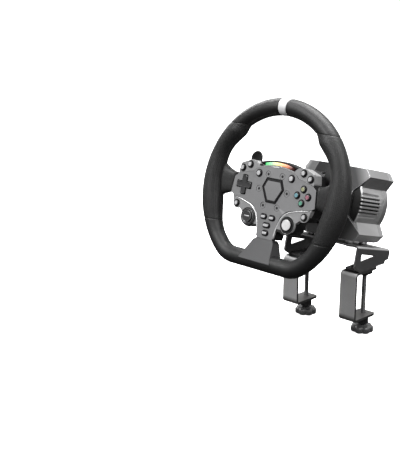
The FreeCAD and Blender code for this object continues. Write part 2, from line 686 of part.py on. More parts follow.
def motor_form(gap, low, front):
    """The motor's round case: its front edge slopes in, and its top and bottom are cut flat."""
    flat = f"motor_flat + {gap}"
    slope = doc.addObject("Part::Cone", "slope")
    bind(slope, Radius1=f"motor_radius + {gap}", Radius2=f"motor_nose + {gap}",
         Height=f"{front} - motor_shoulder", place_z="motor_shoulder")
    return common(fuse(cylinder(f"motor_radius + {gap}", low, "motor_shoulder"), slope),
                  block(-80, 80, f"-({flat})", flat, low, front))


fins = []
for step in range(-4, 5):
    lean = (step * size("fin_pitch") / 24.0) ** 2
    for reach in (("fin_floor", 66), (-66, "-fin_floor")):
        fins.append(block(*reach, f"{step} * fin_pitch - fin_slot / 2",
                          f"{step} * fin_pitch + fin_slot / 2",
                          f"fin_back + {8 * lean}", f"fin_front - {2 * lean}"))
case = cut(motor_form(0, "motor_back", "motor_front"),
           cylinder("motor_bore", -215, front_seat), cylinder("bearing_radius", -215, -130), *fins)
node("motor_housing", case)

roof, tip, waist, root = size("roof_half"), size("wing_tip"), size("waist_half"), size("root_half")
roof_up, tip_up, waist_up, root_up = (size(a) for a in (
    "wing_top", "wing_tip_height", "waist_height", "root_height"))
HOURGLASS = ((0, roof_up), (roof, roof_up), (tip, tip_up), (waist, waist_up), (waist, -waist_up),
             (tip, -tip_up), (roof, -roof_up), (0, -roof_up))


def rhombus(wide, tall, depth):
    sketch = doc.addObject("Sketcher::SketchObject", "rhombus")
    draw(sketch, closed((wide, 0), (0, tall), (-wide, 0), (0, -tall)))
    sketch.Placement.Base.z = depth
    return sketch


def loft(*sections):
    thing = doc.addObject("Part::Loft", "loft")
    thing.Sections = list(sections)
    thing.Solid = True
    thing.Ruled = True
    return thing


facet_tip, facet_side, facet_up = size("facet_tip"), size("facet_side"), size("facet_up")
pyramid = loft(*[rhombus((facet_tip - depth) / facet_side, (facet_tip - depth) / facet_up, depth)
                 for depth in (-155.0, -120.0)])
nose = common(prism(both_sides(*HOURGLASS), "wing_front", "nose_front"), pyramid)
node("front_cover", cut(nose, motor_form("sheet_gap", -160, "motor_front + sheet_gap"),
                        cylinder("nose_bore", -139, -100)))
bolt_places = [(across, depth) for across in (-40, 40) for depth in (-165, -203)]
base_holes = [cross_cylinder("bolt_radius", -80, -50, "Y", place) for place in bolt_places]
for name, side in (("top_cover", 1), ("bottom_cover", -1)):
    wing = closed((roof, side * roof_up), (tip, side * tip_up), (root, side * root_up),
                  (-root, side * root_up), (-tip, side * tip_up), (-roof, side * roof_up))
    wing = wing if side > 0 else mirrored(wing)
    holes = base_holes if side < 0 else []
    node(name, cut(prism(wing, "motor_back", "wing_front"),
                   motor_form("sheet_gap", -230, "motor_front + sheet_gap"), *holes))

inset = size("rear_inset")
rear_sketches = []
for depth, shrink in (("base_back", inset), ("motor_back", 0.0)):
    outline = both_sides((0, roof_up - shrink), (roof - shrink, roof_up - shrink),
                         (tip - shrink, tip_up - shrink / 2), (root - 1, root_up),
                         (root - 1, -root_up), (tip - shrink, shrink / 2 - tip_up),
                         (roof - shrink, shrink - roof_up), (0, shrink - roof_up))
    sketch = doc.addObject("Sketcher::SketchObject", "rear_outline")
    draw(sketch, outline)
    bind(sketch, place_z=depth)
    rear_sketches.append(sketch)
round_back = doc.addObject("Part::Cone", "round_back")
bind(round_back, Radius1="motor_radius - rear_inset", Radius2="motor_radius",
     Height="motor_back - base_back", place_z="base_back")
round_back = common(round_back, block(-80, 80, "-motor_flat", "motor_flat", -230, -200))
seat_ring = cylinder("bearing_radius + 4", "motor_back", "motor_back + bearing_width")
rear = fuse(loft(*rear_sketches), round_back, seat_ring)
jack_places = ((-30, -18), (-30, 4))
port_places = ((29, -20), (29, -6), (29, 8))


def connector(place, grow, low, high):
    x, y = place
    return block(x - 6 - grow, x + 6 + grow, y - 3 - grow, y + 3 + grow, low, high)


jack_holes = [cylinder(5.7, -230, -200, *place) for place in jack_places]
port_holes = [connector(place, 0.2, -230, -200) for place in port_places]
node("rear_cover", cut(rear, cylinder("bearing_radius", "motor_back - 1", -190),
                       cylinder("shaft_radius + 1", -212, -205), *jack_holes, *port_holes))
board_ring = cut(cylinder("motor_bore - 2", -197.6, -196), cylinder("bearing_radius + 5", -199, -195))
socket_back = "base_back + 0.5"
jacks = [cut(cylinder(5.5, socket_back, -197.65, *place), cylinder(3.2, "base_back", -206, *place))
         for place in jack_places]
ports = [cut(connector(place, 0, socket_back, -197.65), connector(place, -1, "base_back", -206))
         for place in port_places]
node("control_board", group(board_ring, *jacks, *ports))

# ---------------------------------------------------------------- bracket between base and clamps
deck_under = "deck_top - sheet_thick"
spacers = [cut(cross_cylinder("spacer_radius", "deck_top", "-wing_top", "Y", place),
               cross_cylinder("bolt_radius", -70, -50, "Y", place)) for place in bolt_places]
node("base_spacers", group(*spacers))
WEB = ((-7.3, 14.9), (-2.0, 9.7), (8.0, 4.0), (76.5, 4.0), (76.9, 8.0), (87.0, 9.7), (89.7, 21.4))
WINDOW = ((11.1, 32.7), (47.9, 22.4), (9.0, 21.0))
web_edge = [wheel_point(*corner) for corner in WEB]
deck_height, front_edge, rear_edge = (size(a) for a in ("deck_top", "deck_front", "deck_back"))
web_plan = closed((deck_height, front_edge), *web_edge, (deck_height, rear_edge))
window_plan = closed(*[wheel_point(*corner) for corner in WINDOW])
webs = [cut(prism(web_plan, *limits, "YZ"), prism(window_plan, -80, 80, "YZ"))
        for limits in (("bracket_half - sheet_thick", "bracket_half"),
                       ("-bracket_half", "-bracket_half + sheet_thick"))]
deck = block("-bracket_half", "bracket_half", deck_under, "deck_top", "deck_back", "deck_front")
half_bracket, bend_radius = size("bracket_half"), size("deck_bend")
corner = bend_radius * (1 - math.sqrt(0.5))
bend_form = prism(both_sides(
    (0, deck_height), (half_bracket - bend_radius, deck_height),
    ((half_bracket - corner, deck_height - corner), (half_bracket, deck_height - bend_radius)),
    (half_bracket, -190), (0, -190)), -260, -60)
upper_bracket = cut(common(fuse(deck, *webs), bend_form), *base_holes)
upper_bracket.Placement = WHEEL
flange_inner = "clamp_centre - clamp_width / 2"
flange_top = "clamp_sheet + sheet_thick"
flanges = [block(*limits, 8.5, 76, "clamp_sheet", flange_top)
           for limits in ((flange_inner, "bracket_half - sheet_thick / 2"),
                          ("sheet_thick / 2 - bracket_half", f"-({flange_inner})"))]
clamp_bolts = [(side * size("clamp_bolt_side"), depth) for _, side in SIDES for depth in (20.0, 34.0)]
flange_holes = [cylinder("bolt_radius", 0, 10, *place) for place in clamp_bolts]
node("table_bracket", cut(fuse(upper_bracket, *flanges), *flange_holes), DESK)
base_bolts = [fuse(cross_cylinder("bolt_head", f"{deck_under} - 2.4", deck_under, "Y", place),
                   cross_cylinder("bolt_radius", deck_under, -50.2, "Y", place))
              for place in bolt_places]
base_bolt_set = group(*base_bolts)
base_bolt_set.Placement = WHEEL

# ---------------------------------------------------------------- desk clamps
sheet_t, throat = size("clamp_sheet"), size("clamp_throat")
bend, reach_up, reach_down = size("bend_inner"), size("arm_reach"), size("lower_reach")
outer_bend = bend + sheet_t
diagonal = 1 - math.sqrt(0.5)
c_profile = closed(
    (reach_up, sheet_t), (outer_bend - sheet_t, sheet_t),
    ((-sheet_t + diagonal * outer_bend, sheet_t - diagonal * outer_bend), (-sheet_t, -bend)),
    (-sheet_t, bend - throat),
    ((-sheet_t + diagonal * outer_bend, -throat - sheet_t + diagonal * outer_bend),
     (bend, -throat - sheet_t)),
    (reach_down, -throat - sheet_t), (reach_down, -throat), (bend, -throat),
    ((diagonal * bend, -throat + diagonal * bend), (0, bend - throat)),
    (0, -bend), ((diagonal * bend, -diagonal * bend), (bend, 0)), (reach_up, 0))


def clamp_plan():
    """The clamp seen from above, with rounded free corners."""
    half, r = size("clamp_width") / 2, size("plan_corner")
    far, near = reach_up, -sheet_t - 1
    return closed((-half, near), (half, near), (half, far - r),
                  ((half - diagonal * r, far - diagonal * r), (half - r, far)), (r - half, far),
                  ((diagonal * r - half, far - diagonal * r), (-half, far - r)))


screw_reach = size("screw_reach")
for name, side in SIDES:
    centre = side * size("clamp_centre")
    strip = prism(c_profile, "-clamp_width / 2", "clamp_width / 2", "YZ")
    trimmed = common(strip, prism(clamp_plan(), -90, 10))
    bolt_holes = [cylinder("bolt_radius", -5, 10, x - centre, y) for x, y in clamp_bolts
                  if x * side > 0]
    screw_hole = cylinder("screw_radius + 0.6", -90, -70, 0, "screw_reach")
    node(f"{name}_clamp_frame", cut(trimmed, screw_hole, *bolt_holes), DESK, (centre, 0, 0))

    pad = fuse(cylinder("foot_radius", "foot_top - foot_thick", "foot_top", 0, "screw_reach"),
               cylinder("screw_radius + 2", "foot_top - foot_thick - 4", "foot_top - foot_thick",
                        0, "screw_reach"))
    pad_socket = cylinder("screw_radius + running_gap", -20, "foot_top - foot_thick", 0, "screw_reach")
    node(f"{name}_clamp_pad", cut(pad, pad_socket), DESK, (centre, 0, 0))

    star = doc.addObject("PartDesign::Body", "star_body")
    star_sketch = body_sketch(star)
    circle(star_sketch, "star_radius")
    star_pad = star.newObject("PartDesign::Pad", "star_pad")
    star_pad.Profile = star_sketch
    star_pad.setExpression("Length", cell("star_height"))
    lobe_sketch = body_sketch(star)
    circle(lobe_sketch, "lobe_gap", size("star_radius") + size("lobe_setback"), 0)
    lobe_gap = pocket_through(star, lobe_sketch, "lobe_gap")
    lobe_gaps = star.newObject("PartDesign::PolarPattern", "lobe_gaps")
    lobe_gaps.Originals = [lobe_gap]
    lobe_gaps.Axis = (lobe_sketch, ["N_Axis"])
    lobe_gaps.Angle = 360
    lobe_gaps.Occurrences = 7
    star.Tip = lobe_gaps
    star.Placement.Base = V(0, screw_reach, size("star_top") - size("star_height"))
    screw = cylinder("screw_radius", "star_top", "foot_top - foot_thick - 0.1", 0, "screw_reach")
    node(f"{name}_clamp_screw", fuse(star, screw), DESK, (centre, 0, 0))

nut_top = "-clamp_throat - clamp_sheet"
nuts = [cut(cylinder("nut_radius", f"{nut_top} - nut_height", nut_top, f"{side} * clamp_centre",
                     "screw_reach"),
            cylinder("screw_radius + running_gap", -100, -70, f"{side} * clamp_centre", "screw_reach"))
        for _, side in SIDES]
node("clamp_nuts", group(*nuts), DESK)
joint_bolts = [fuse(cylinder("bolt_head", flange_top, f"{flange_top} + 2.6", *place),
                    cylinder("bolt_radius", 0.3, flange_top, *place)) for place in clamp_bolts]
node("bracket_bolts", group(base_bolt_set, *joint_bolts), DESK)

# ---------------------------------------------------------------- check and write
doc.recompute()
failed = [thing.Name for thing in doc.Objects if {"Invalid", "Error"} & set(thing.State)]
failed += [thing.Label for thing in NODES if thing.Shape.isNull() or not thing.Shape.isValid()]
if failed:
    raise SystemExit(f"these did not build: {failed}")
os.makedirs("parts", exist_ok=True)
for old in os.listdir("parts"):
    os.remove(os.path.join("parts", old))
for thing in NODES:
    thing.Shape.exportStep(f"parts/{thing.Label}.step")
    print(f"{thing.Label}: {len(thing.Shape.Solids)} solids, {thing.Shape.Volume / 1000:.1f} cm3")
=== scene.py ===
"""Looks of the desk-mounted racing wheel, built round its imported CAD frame.

Finished meshes are in metres. Shapes are written in millimetres, in WHEEL or in DESK.
"""

import json
import math

import bmesh
import bpy
from mathutils import Matrix, Vector

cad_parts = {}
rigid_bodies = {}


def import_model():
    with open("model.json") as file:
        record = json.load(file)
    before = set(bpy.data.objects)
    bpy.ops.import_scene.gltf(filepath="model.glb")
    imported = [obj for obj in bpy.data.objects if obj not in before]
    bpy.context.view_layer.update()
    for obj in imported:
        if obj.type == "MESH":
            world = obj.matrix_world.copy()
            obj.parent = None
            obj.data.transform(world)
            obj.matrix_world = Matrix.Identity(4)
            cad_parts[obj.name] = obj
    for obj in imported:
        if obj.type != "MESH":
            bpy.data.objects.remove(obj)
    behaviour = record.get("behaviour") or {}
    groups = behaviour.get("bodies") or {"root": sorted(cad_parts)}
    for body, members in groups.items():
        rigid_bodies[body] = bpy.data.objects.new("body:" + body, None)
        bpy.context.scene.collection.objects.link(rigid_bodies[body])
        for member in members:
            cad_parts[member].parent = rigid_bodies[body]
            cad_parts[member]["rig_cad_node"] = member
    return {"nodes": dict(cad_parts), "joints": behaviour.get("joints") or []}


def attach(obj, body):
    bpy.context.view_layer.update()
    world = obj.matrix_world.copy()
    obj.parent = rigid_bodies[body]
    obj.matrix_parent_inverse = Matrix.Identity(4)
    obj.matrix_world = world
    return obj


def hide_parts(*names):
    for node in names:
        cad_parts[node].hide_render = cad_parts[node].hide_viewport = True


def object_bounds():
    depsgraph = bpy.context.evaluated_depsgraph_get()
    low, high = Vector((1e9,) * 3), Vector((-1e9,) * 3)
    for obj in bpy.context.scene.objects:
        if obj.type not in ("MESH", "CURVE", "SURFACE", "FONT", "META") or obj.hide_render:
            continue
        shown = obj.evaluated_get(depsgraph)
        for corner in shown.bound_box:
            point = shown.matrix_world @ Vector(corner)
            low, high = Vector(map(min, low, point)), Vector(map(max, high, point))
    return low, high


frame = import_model()
cad_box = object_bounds()
scene = bpy.context.scene

# ---------------------------------------------------------------- frames, in millimetres
# WHEEL: X to the driver's right, Y up in the plane of the rim, Z along the axis to the driver
MM = Matrix.Scale(0.001, 4)
steering = next(j for j in frame["joints"] if j["name"] == "steering")
hub = Vector(steering["pos_m"])
to_driver = -Vector(steering["axis"]).normalized()
across = Vector((1, 0, 0))
up_wheel = to_driver.cross(across)
WHEEL = (Matrix.Translation(hub)
         @ Matrix((across, up_wheel, to_driver)).transposed().to_4x4() @ MM)
DESK = MM


def local_box(node, place=WHEEL):
    """Lowest and highest corner of a CAD node in the given frame, in millimetres."""
    back = place.inverted()
    points = [back @ v.co for v in frame["nodes"][node].data.vertices]
    return (Vector([min(p[i] for p in points) for i in range(3)]),
            Vector([max(p[i] for p in points) for i in range(3)]))


def centre_of(node, place=WHEEL):
    low, high = local_box(node, place)
    return (low + high) / 2


# ---------------------------------------------------------------- materials
class Nodes:
    """A small helper for writing a material's node tree."""

    def __init__(self, name, colour, rough, metal=0.0, **extra):
        self.material = bpy.data.materials.new(name)
        self.material.use_nodes = True
        self.tree = self.material.node_tree
        self.shader = self.tree.nodes["Principled BSDF"]
        self.shader.inputs["Base Color"].default_value = (*colour, 1)
        self.shader.inputs["Roughness"].default_value = rough
        self.shader.inputs["Metallic"].default_value = metal
        for key, value in extra.items():
            self.shader.inputs[key.replace("_", " ")].default_value = value
        self.coords = self.tree.nodes.new("ShaderNodeTexCoord")
        self.bump_chain = None

    def add(self, kind, settings=None, **inputs):
        node = self.tree.nodes.new(kind)
        for key, value in (settings or {}).items():
            setattr(node, key, value)
        for key, value in inputs.items():
            self.feed(node.inputs[key.replace("_", " ")], value)
        return node

    def feed(self, socket, value):
        if isinstance(value, bpy.types.NodeSocket):
            self.tree.links.new(value, socket)
        else:
            socket.default_value = value

    def noise(self, scale, detail=3.0):
        node = self.add("ShaderNodeTexNoise", Vector=self.coords.outputs["Object"], Scale=scale,
                        Detail=detail)
        return node.outputs["Fac"]

    def cells(self, scale):
        """Distance to the nearest edge of a cell pattern."""
        node = self.add("ShaderNodeTexVoronoi", {"feature": "DISTANCE_TO_EDGE"},
                        Vector=self.coords.outputs["Object"], Scale=scale)
        return node.outputs["Distance"]

    def ramp(self, value, low, high, first, last):
        """Maps value from low..high to first..last, clamped."""
        node = self.add("ShaderNodeMapRange", Value=value, From_Min=low, From_Max=high,
                        To_Min=first, To_Max=last)
        return node.outputs["Result"]

    def math(self, operation, first, second=0.0, third=0.0):
        node = self.add("ShaderNodeMath", {"operation": operation})
        for socket, value in zip(node.inputs, (first, second, third)):
            self.feed(socket, value)
        return node.outputs[0]

    def vector_math(self, operation, first, second=None):
        node = self.add("ShaderNodeVectorMath", {"operation": operation})
        self.feed(node.inputs[0], first)
        if second is not None:
            self.feed(node.inputs[1], second)
        return node

    def mix(self, amount, first, second):
        node = self.add("ShaderNodeMix", {"data_type": "RGBA"})
        self.feed(node.inputs[0], amount)
        self.feed(node.inputs[6], (*first, 1) if isinstance(first, tuple) else first)
        self.feed(node.inputs[7], (*second, 1) if isinstance(second, tuple) else second)
        return node.outputs[2]

    def bump(self, height, distance, strength=1.0):
        node = self.add("ShaderNodeBump", Height=height, Distance=distance, Strength=strength)
        if self.bump_chain is not None:
            self.tree.links.new(self.bump_chain, node.inputs["Normal"])
        self.bump_chain = node.outputs["Normal"]
        self.tree.links.new(self.bump_chain, self.shader.inputs["Normal"])

    def colour(self, socket):
        self.tree.links.new(socket, self.shader.inputs["Base Color"])

    def roughness(self, socket):
        self.tree.links.new(socket, self.shader.inputs["Roughness"])


def tone(colour, factor):
    return tuple(min(1.0, c * factor) for c in colour)


def edge_mask(nodes):
    """1 on worn outer edges, 0 elsewhere."""
    geometry = nodes.add("ShaderNodeNewGeometry")
    return nodes.ramp(geometry.outputs["Pointiness"], 0.52, 0.6, 0.0, 1.0)


def leather(name, colour, perforated=False):
    n = Nodes(name, colour, 0.42, Specular_IOR_Level=0.36)
    patches = n.noise(26, 4)
    grain = n.cells(620)
    fine = n.noise(1900, 2)
    creases = n.noise(160, 3)
    n.colour(n.mix(n.ramp(patches, 0.3, 0.7, 0, 1), tone(colour, 0.8), tone(colour, 1.25)))
    n.roughness(n.ramp(n.math("ADD", patches, n.math("MULTIPLY", grain, 0.6)), 0.3, 1.0, 0.36, 0.5))
    n.bump(creases, 0.0006, 0.25)
    n.bump(n.ramp(grain, 0.0, 0.22, 0, 1), 0.00012, 0.6)
    n.bump(fine, 0.00005, 0.4)
    if perforated:
        uv = n.coords.outputs["UV"]
        rows = n.add("ShaderNodeSeparateXYZ", Vector=uv)
        shift = n.math("MULTIPLY", n.math("MODULO", n.math("FLOOR", rows.outputs["Y"]), 2.0), 0.5)
        du = n.math("SUBTRACT", n.math("FRACT", n.math("ADD", rows.outputs["X"], shift)), 0.5)
        dv = n.math("SUBTRACT", n.math("FRACT", rows.outputs["Y"]), 0.5)
        away = n.math("SQRT", n.math("ADD", n.math("MULTIPLY", du, du), n.math("MULTIPLY", dv, dv)))
        hole = n.ramp(away, 0.2, 0.3, 0, 1)
        inside = n.shader.inputs["Base Color"].links[0].from_socket
        n.colour(n.mix(hole, tone(colour, 0.12), inside))
        n.bump(hole, 0.0004, 0.8)
    return n.material


def coated_metal(name, colour, rough, metal=0.75, grain=2600, wear=0.25, overlays=()):
    """Speckled, coated metal; each overlay is a mask and the colour that shows through it."""
    n = Nodes(name, colour, rough, metal)
    cloud = n.noise(18, 3)
    sand = n.noise(grain, 2)
    base = n.mix(n.ramp(cloud, 0.3, 0.7, 0, 1), tone(colour, 0.93), tone(colour, 1.07))
    base = n.mix(n.math("MULTIPLY", n.ramp(sand, 0.35, 0.65, 0, 1), 0.25), base, tone(colour, 1.7))
    base = n.mix(n.math("MULTIPLY", edge_mask(n), wear), base, tone(colour, 3.2))
    for mask, other in overlays:
        base = n.mix(mask(n), base, other)
    n.colour(base)
    n.roughness(n.ramp(n.math("ADD", cloud, sand), 0.6, 1.4, rough - 0.06, rough + 0.08))
    n.bump(sand, 0.00006, 0.5)
    return n.material


def moulded_plastic(name, colour, rough, spark=900, depth=0.00008, gloss=0.45):
    n = Nodes(name, colour, rough, Specular_IOR_Level=gloss)
    spots = n.noise(spark, 3)
    cloud = n.noise(24, 3)
    n.colour(n.mix(n.ramp(cloud, 0.3, 0.7, 0, 1), tone(colour, 0.85), tone(colour, 1.2)))
    n.roughness(n.ramp(n.math("ADD", spots, cloud), 0.6, 1.4, rough - 0.05, rough + 0.07))
    n.bump(spots, depth, 0.5)
    return n.material


def clear_cap(name, colour, rough=0.16):
    """A tinted, polished button moulding with faint flow marks and fine scratches."""
    n = Nodes(name, colour, rough, Coat_Weight=0.6, Coat_Roughness=0.08)
    flow = n.noise(140, 2)
    scratch = n.noise(1500, 4)
    n.colour(n.mix(n.ramp(flow, 0.3, 0.7, 0, 1), tone(colour, 0.88), tone(colour, 1.15)))
    n.roughness(n.ramp(scratch, 0.3, 0.7, rough - 0.04, rough + 0.06))
    n.bump(scratch, 0.00002, 0.3)
    return n.material


def led_material(name):
    """A diffuser lit by a row of small lamps, green to yellow to red along the wheel's X axis."""
    n = Nodes(name, (0.02, 0.02, 0.02), 0.2)
    place = n.add("ShaderNodeSeparateXYZ", Vector=n.coords.outputs["Object"])
    low, high = local_box("led_bar")
    reach = (high.x - low.x) / 2 / 1000 * 0.72
    along = n.ramp(place.outputs["X"], -reach, reach, 0, 1)
    ramp = n.add("ShaderNodeValToRGB", Fac=along)
    stops = ramp.color_ramp
    stops.elements[0].color = (0.03, 0.42, 0.12, 1)
    stops.elements[1].color = (0.05, 0.02, 0.02, 1)
    for spot, colour in ((0.24, (0.32, 0.8, 0.38, 1)), (0.42, (0.85, 0.85, 0.38, 1)),
                         (0.62, (0.86, 0.42, 0.2, 1)), (0.8, (0.62, 0.22, 0.12, 1)),
                         (0.92, (0.16, 0.06, 0.05, 1))):
        stops.elements.new(spot).color = colour
    lamps = n.math("PINGPONG", n.math("MULTIPLY", along, 15.0), 0.5)
    glow = n.ramp(lamps, 0.0, 0.4, 0.62, 1.0)
    n.colour(ramp.outputs["Color"])
    n.feed(n.shader.inputs["Emission Color"], ramp.outputs["Color"])
    n.feed(n.shader.inputs["Emission Strength"], n.math("MULTIPLY", glow, 0.55))
    return n.material


def beyond(axis, limit, soft=0.15):
    """A mask of what lies further from the hub than the limit, measured along an axis."""
    def mask(n):
        away = n.vector_math("SUBTRACT", n.coords.outputs["Object"], tuple(hub))
        along = n.vector_math("DOT_PRODUCT", away.outputs["Vector"], tuple(axis)).outputs["Value"]
        return n.ramp(along, (limit - soft) / 1000, (limit + soft) / 1000, 0, 1)
    return mask


def near_axis(limit, soft=0.8):
    """A mask of what lies closer to the wheel's axis than the limit."""
    def mask(n):
        away = n.vector_math("SUBTRACT", n.coords.outputs["Object"], tuple(hub)).outputs["Vector"]
        radial = n.vector_math("CROSS_PRODUCT", away, tuple(to_driver)).outputs["Vector"]
        reach = n.vector_math("LENGTH", radial).outputs["Value"]
        return n.ramp(reach, (limit - soft) / 1000, (limit + soft) / 1000, 1, 0)
    return mask


def facing(axis, limit=0.8):
    """A mask of the faces square to an axis of the object, on both of its sides."""
    def mask(n):
        lean = n.vector_math("DOT_PRODUCT", n.coords.outputs["Normal"], tuple(axis)).outputs["Value"]
        return n.ramp(n.math("ABSOLUTE", lean), limit - 0.1, limit + 0.1, 0, 1)
    return mask


def bent():
    """A mask of the rounded bends between upright and level faces, where a painted highlight goes."""
    def mask(n):
        axes = n.add("ShaderNodeSeparateXYZ", Vector=n.coords.outputs["Normal"])
        lean = n.math("ABSOLUTE", axes.outputs["Z"])
        return n.math("MULTIPLY", n.ramp(lean, 0.2, 0.45, 0, 1), n.ramp(lean, 0.9, 0.99, 1, 0))
    return mask


BLACK = (0.012, 0.012, 0.0125)
PLATE_GREY = (0.168, 0.168, 0.171)
BASE_GREY = (0.42, 0.42, 0.423)
UPRIGHT = Vector((0, 0, 1))
clamp_top = local_box("left_clamp_frame", DESK)[1].z
rear_face = -local_box("rear_cover")[0].z
MATERIALS = {
    "smooth_leather": leather("smooth_leather", (0.0115, 0.0115, 0.0117)),
    "perforated_leather": leather("perforated_leather", (0.014, 0.014, 0.0142), True),
    "marker_leather": leather("marker_leather", (0.6, 0.6, 0.61)),
    # Grey rings: the knob's turned rings, and the guide button's surround, which is a painted highlight
    # ring.
    "grey_ring_and_highlight": coated_metal("grey_ring_and_highlight", (0.2, 0.2, 0.203), 0.3, 0.7, wear=0.0),
    # Painted highlights: lighter, glossier metal for the bevel faces of the base covers and the bracket.
    "metal_edge_highlight": coated_metal("metal_edge_highlight", (0.5, 0.5, 0.505), 0.28, 0.85, wear=0.0),
    "steel_edge_highlight": coated_metal("steel_edge_highlight", (0.62, 0.62, 0.62), 0.25, 0.8, wear=0.0),
    # Painted shade: the plate is near-black behind its front face, standing in for the shadow gap round its
    # edges.
    "plate_face_painted_shade": coated_metal("plate_face_painted_shade", PLATE_GREY, 0.5, 0.35, overlays=[
        (beyond(-to_driver, 0.9), (0.015, 0.015, 0.015))]),
    # Painted shade: the badge and the plate screws are near-black behind their faces, standing in for the
    # shade in the recess round them.
    "plate_insert_painted_shade": coated_metal("plate_insert_painted_shade", PLATE_GREY, 0.5, 0.35, overlays=[
        (beyond(-to_driver, 0.75), (0.01, 0.01, 0.01))]),
    # Painted shade: near the axis, in the fin slots and on the front cone, the motor is painted near-black.
    "motor_metal_painted_shade": coated_metal("motor_metal_painted_shade", (0.52, 0.52, 0.523), 0.4, 0.8, overlays=[
        (near_axis(60.7), (0.02, 0.02, 0.02))]),
    "pod_face": coated_metal("pod_face", (0.21, 0.21, 0.213), 0.48, 0.3, overlays=[
        (beyond(-up_wheel, 9.0 - centre_of("guide_button").y), (0.012, 0.012, 0.012))]),
    # Painted shade: the lower arms are darker and the side faces square to X are dark. The top face above
    # the throat is black.
    "clamp_steel": coated_metal("clamp_steel", (0.36, 0.36, 0.362), 0.44, 0.3, grain=1400, overlays=[
        (beyond(-UPRIGHT, hub.z * 1000 + 70, 3.0), (0.1, 0.097, 0.095)),
        (beyond(UPRIGHT, clamp_top - hub.z * 1000 - 0.9, 0.3), (0.015, 0.015, 0.015)),
        (facing(across), (0.03, 0.03, 0.03))]),
    "rear_metal": coated_metal("rear_metal", BASE_GREY, 0.34, 0.8, overlays=[
        (beyond(-to_driver, rear_face - 1.2), (0.012, 0.012, 0.012))]),
    "pod_side": coated_metal("pod_side", (0.32, 0.32, 0.322), 0.42, 0.3),
    "paddle_black": moulded_plastic("paddle_black", (0.011, 0.011, 0.0115), 0.36, gloss=0.5),
    "collar_black": coated_metal("collar_black", (0.02, 0.02, 0.021), 0.28, 0.5, wear=0.4),
    "nut_black": coated_metal("nut_black", (0.04, 0.04, 0.041), 0.32, 0.8),
    "socket_black": moulded_plastic("socket_black", (0.015, 0.015, 0.016), 0.45),
    "stitch_thread": moulded_plastic("stitch_thread", (0.035, 0.035, 0.036), 0.6, spark=3000),
    "spoke_aluminium": coated_metal("spoke_aluminium", (0.03, 0.03, 0.031), 0.42, 0.35),
    # The bead along the plate's lower edges: a real edge whose near-white tone is painted highlight.
    "trim_painted_highlight": coated_metal("trim_painted_highlight", (0.85, 0.85, 0.86), 0.2, 0.6, wear=0.0),
    "dark_plastic": moulded_plastic("dark_plastic", BLACK, 0.46, gloss=0.22),
    "gloss_black": clear_cap("gloss_black", (0.008, 0.008, 0.009)),
    "button_top": clear_cap("button_top", (0.42, 0.42, 0.43)),
    "green_button": clear_cap("green_button", (0.09, 0.27, 0.19)),
    "red_button": clear_cap("red_button", (0.3, 0.11, 0.15)),
    "blue_button": clear_cap("blue_button", (0.12, 0.26, 0.3)),
    "yellow_button": clear_cap("yellow_button", (0.26, 0.27, 0.15)),
    "white_button": clear_cap("white_button", (0.55, 0.55, 0.55)),
    "pad_plastic": moulded_plastic("pad_plastic", (0.02, 0.02, 0.021), 0.34),
    "knob_rubber": moulded_plastic("knob_rubber", (0.02, 0.02, 0.021), 0.5),
    "led": led_material("led"),
    "base_aluminium": coated_metal("base_aluminium", BASE_GREY, 0.34, 0.88),
    # Painted shade: the front cover darkens towards the wheel.
    "nose_aluminium_painted_shade": coated_metal("nose_aluminium_painted_shade", BASE_GREY, 0.34, 0.88, overlays=[
        (beyond(to_driver, -148, 9.0), (0.08, 0.08, 0.081))]),
    # Painted highlight: the bracket's rounded bends are painted light grey.
    "bracket_steel": coated_metal("bracket_steel", (0.11, 0.11, 0.111), 0.38, 0.7, grain=1400, overlays=[
        (bent(), (0.42, 0.42, 0.42))]),
    "zinc_steel": coated_metal("zinc_steel", (0.42, 0.42, 0.43), 0.3, 0.95),
    "screw_steel": coated_metal("screw_steel", (0.1, 0.1, 0.1), 0.3, 0.85),
    "star_plastic": moulded_plastic("star_plastic", (0.065, 0.065, 0.066), 0.26, gloss=0.7),
    "board_green": moulded_plastic("board_green", (0.02, 0.1, 0.05), 0.4),
    "rubber": moulded_plastic("rubber", (0.014, 0.014, 0.014), 0.7),
    "laminations": coated_metal("laminations", (0.2, 0.14, 0.09), 0.45, 0.8),
}


# ---------------------------------------------------------------- mesh building
def piece(name, shape, body, slot, material=None, place=WHEEL, smooth=True, uvs=None,
          replaced=()):
    """A finished mesh object in the row frame, riding on its body."""
    verts, faces = shape
    mesh = bpy.data.meshes.new(name)
    mesh.from_pydata([tuple(place @ Vector(v)) for v in verts], [], faces)
    if uvs is not None:
        layer = mesh.uv_layers.new(name="UVMap")
        for polygon, corners in zip(mesh.polygons, uvs):
            for loop, uv in zip(polygon.loop_indices, corners):
                layer.data[loop].uv = uv
    edit = bmesh.new()
    edit.from_mesh(mesh)
    bmesh.ops.recalc_face_normals(edit, faces=edit.faces)
    edit.to_mesh(mesh)
    edit.free()
    mesh.shade_smooth() if smooth else mesh.shade_flat()
    thing = bpy.data.objects.new(name, mesh)
    scene.collection.objects.link(thing)
    thing.data.materials.append(MATERIALS[material or slot])
    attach(thing, body)
    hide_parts(*replaced)
    return thing


def rounded(thing, width=0.3, segments=2, angle=30):
    """Small rounded edges, and normals that keep the flats flat."""
    if thing.get("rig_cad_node"):
        weld = thing.modifiers.new("weld", "WELD")
        weld.merge_threshold = 1e-6
    bevel = thing.modifiers.new("edges", "BEVEL")
    bevel.width = width / 1000
    bevel.segments = segments
    bevel.limit_method = "ANGLE"
    bevel.angle_limit = math.radians(angle)
    bevel.harden_normals = True
    return thing


def quads(rows, count, ring=True, loop=False):
    """Faces between rows of count points; ring closes each row, loop joins the last row to the first."""
    return [(row * count + k, row * count + (k + 1) % count,
             (row + 1) % rows * count + (k + 1) % count, (row + 1) % rows * count + k)
            for row in range(rows if loop else rows - 1) for k in range(count if ring else count - 1)]


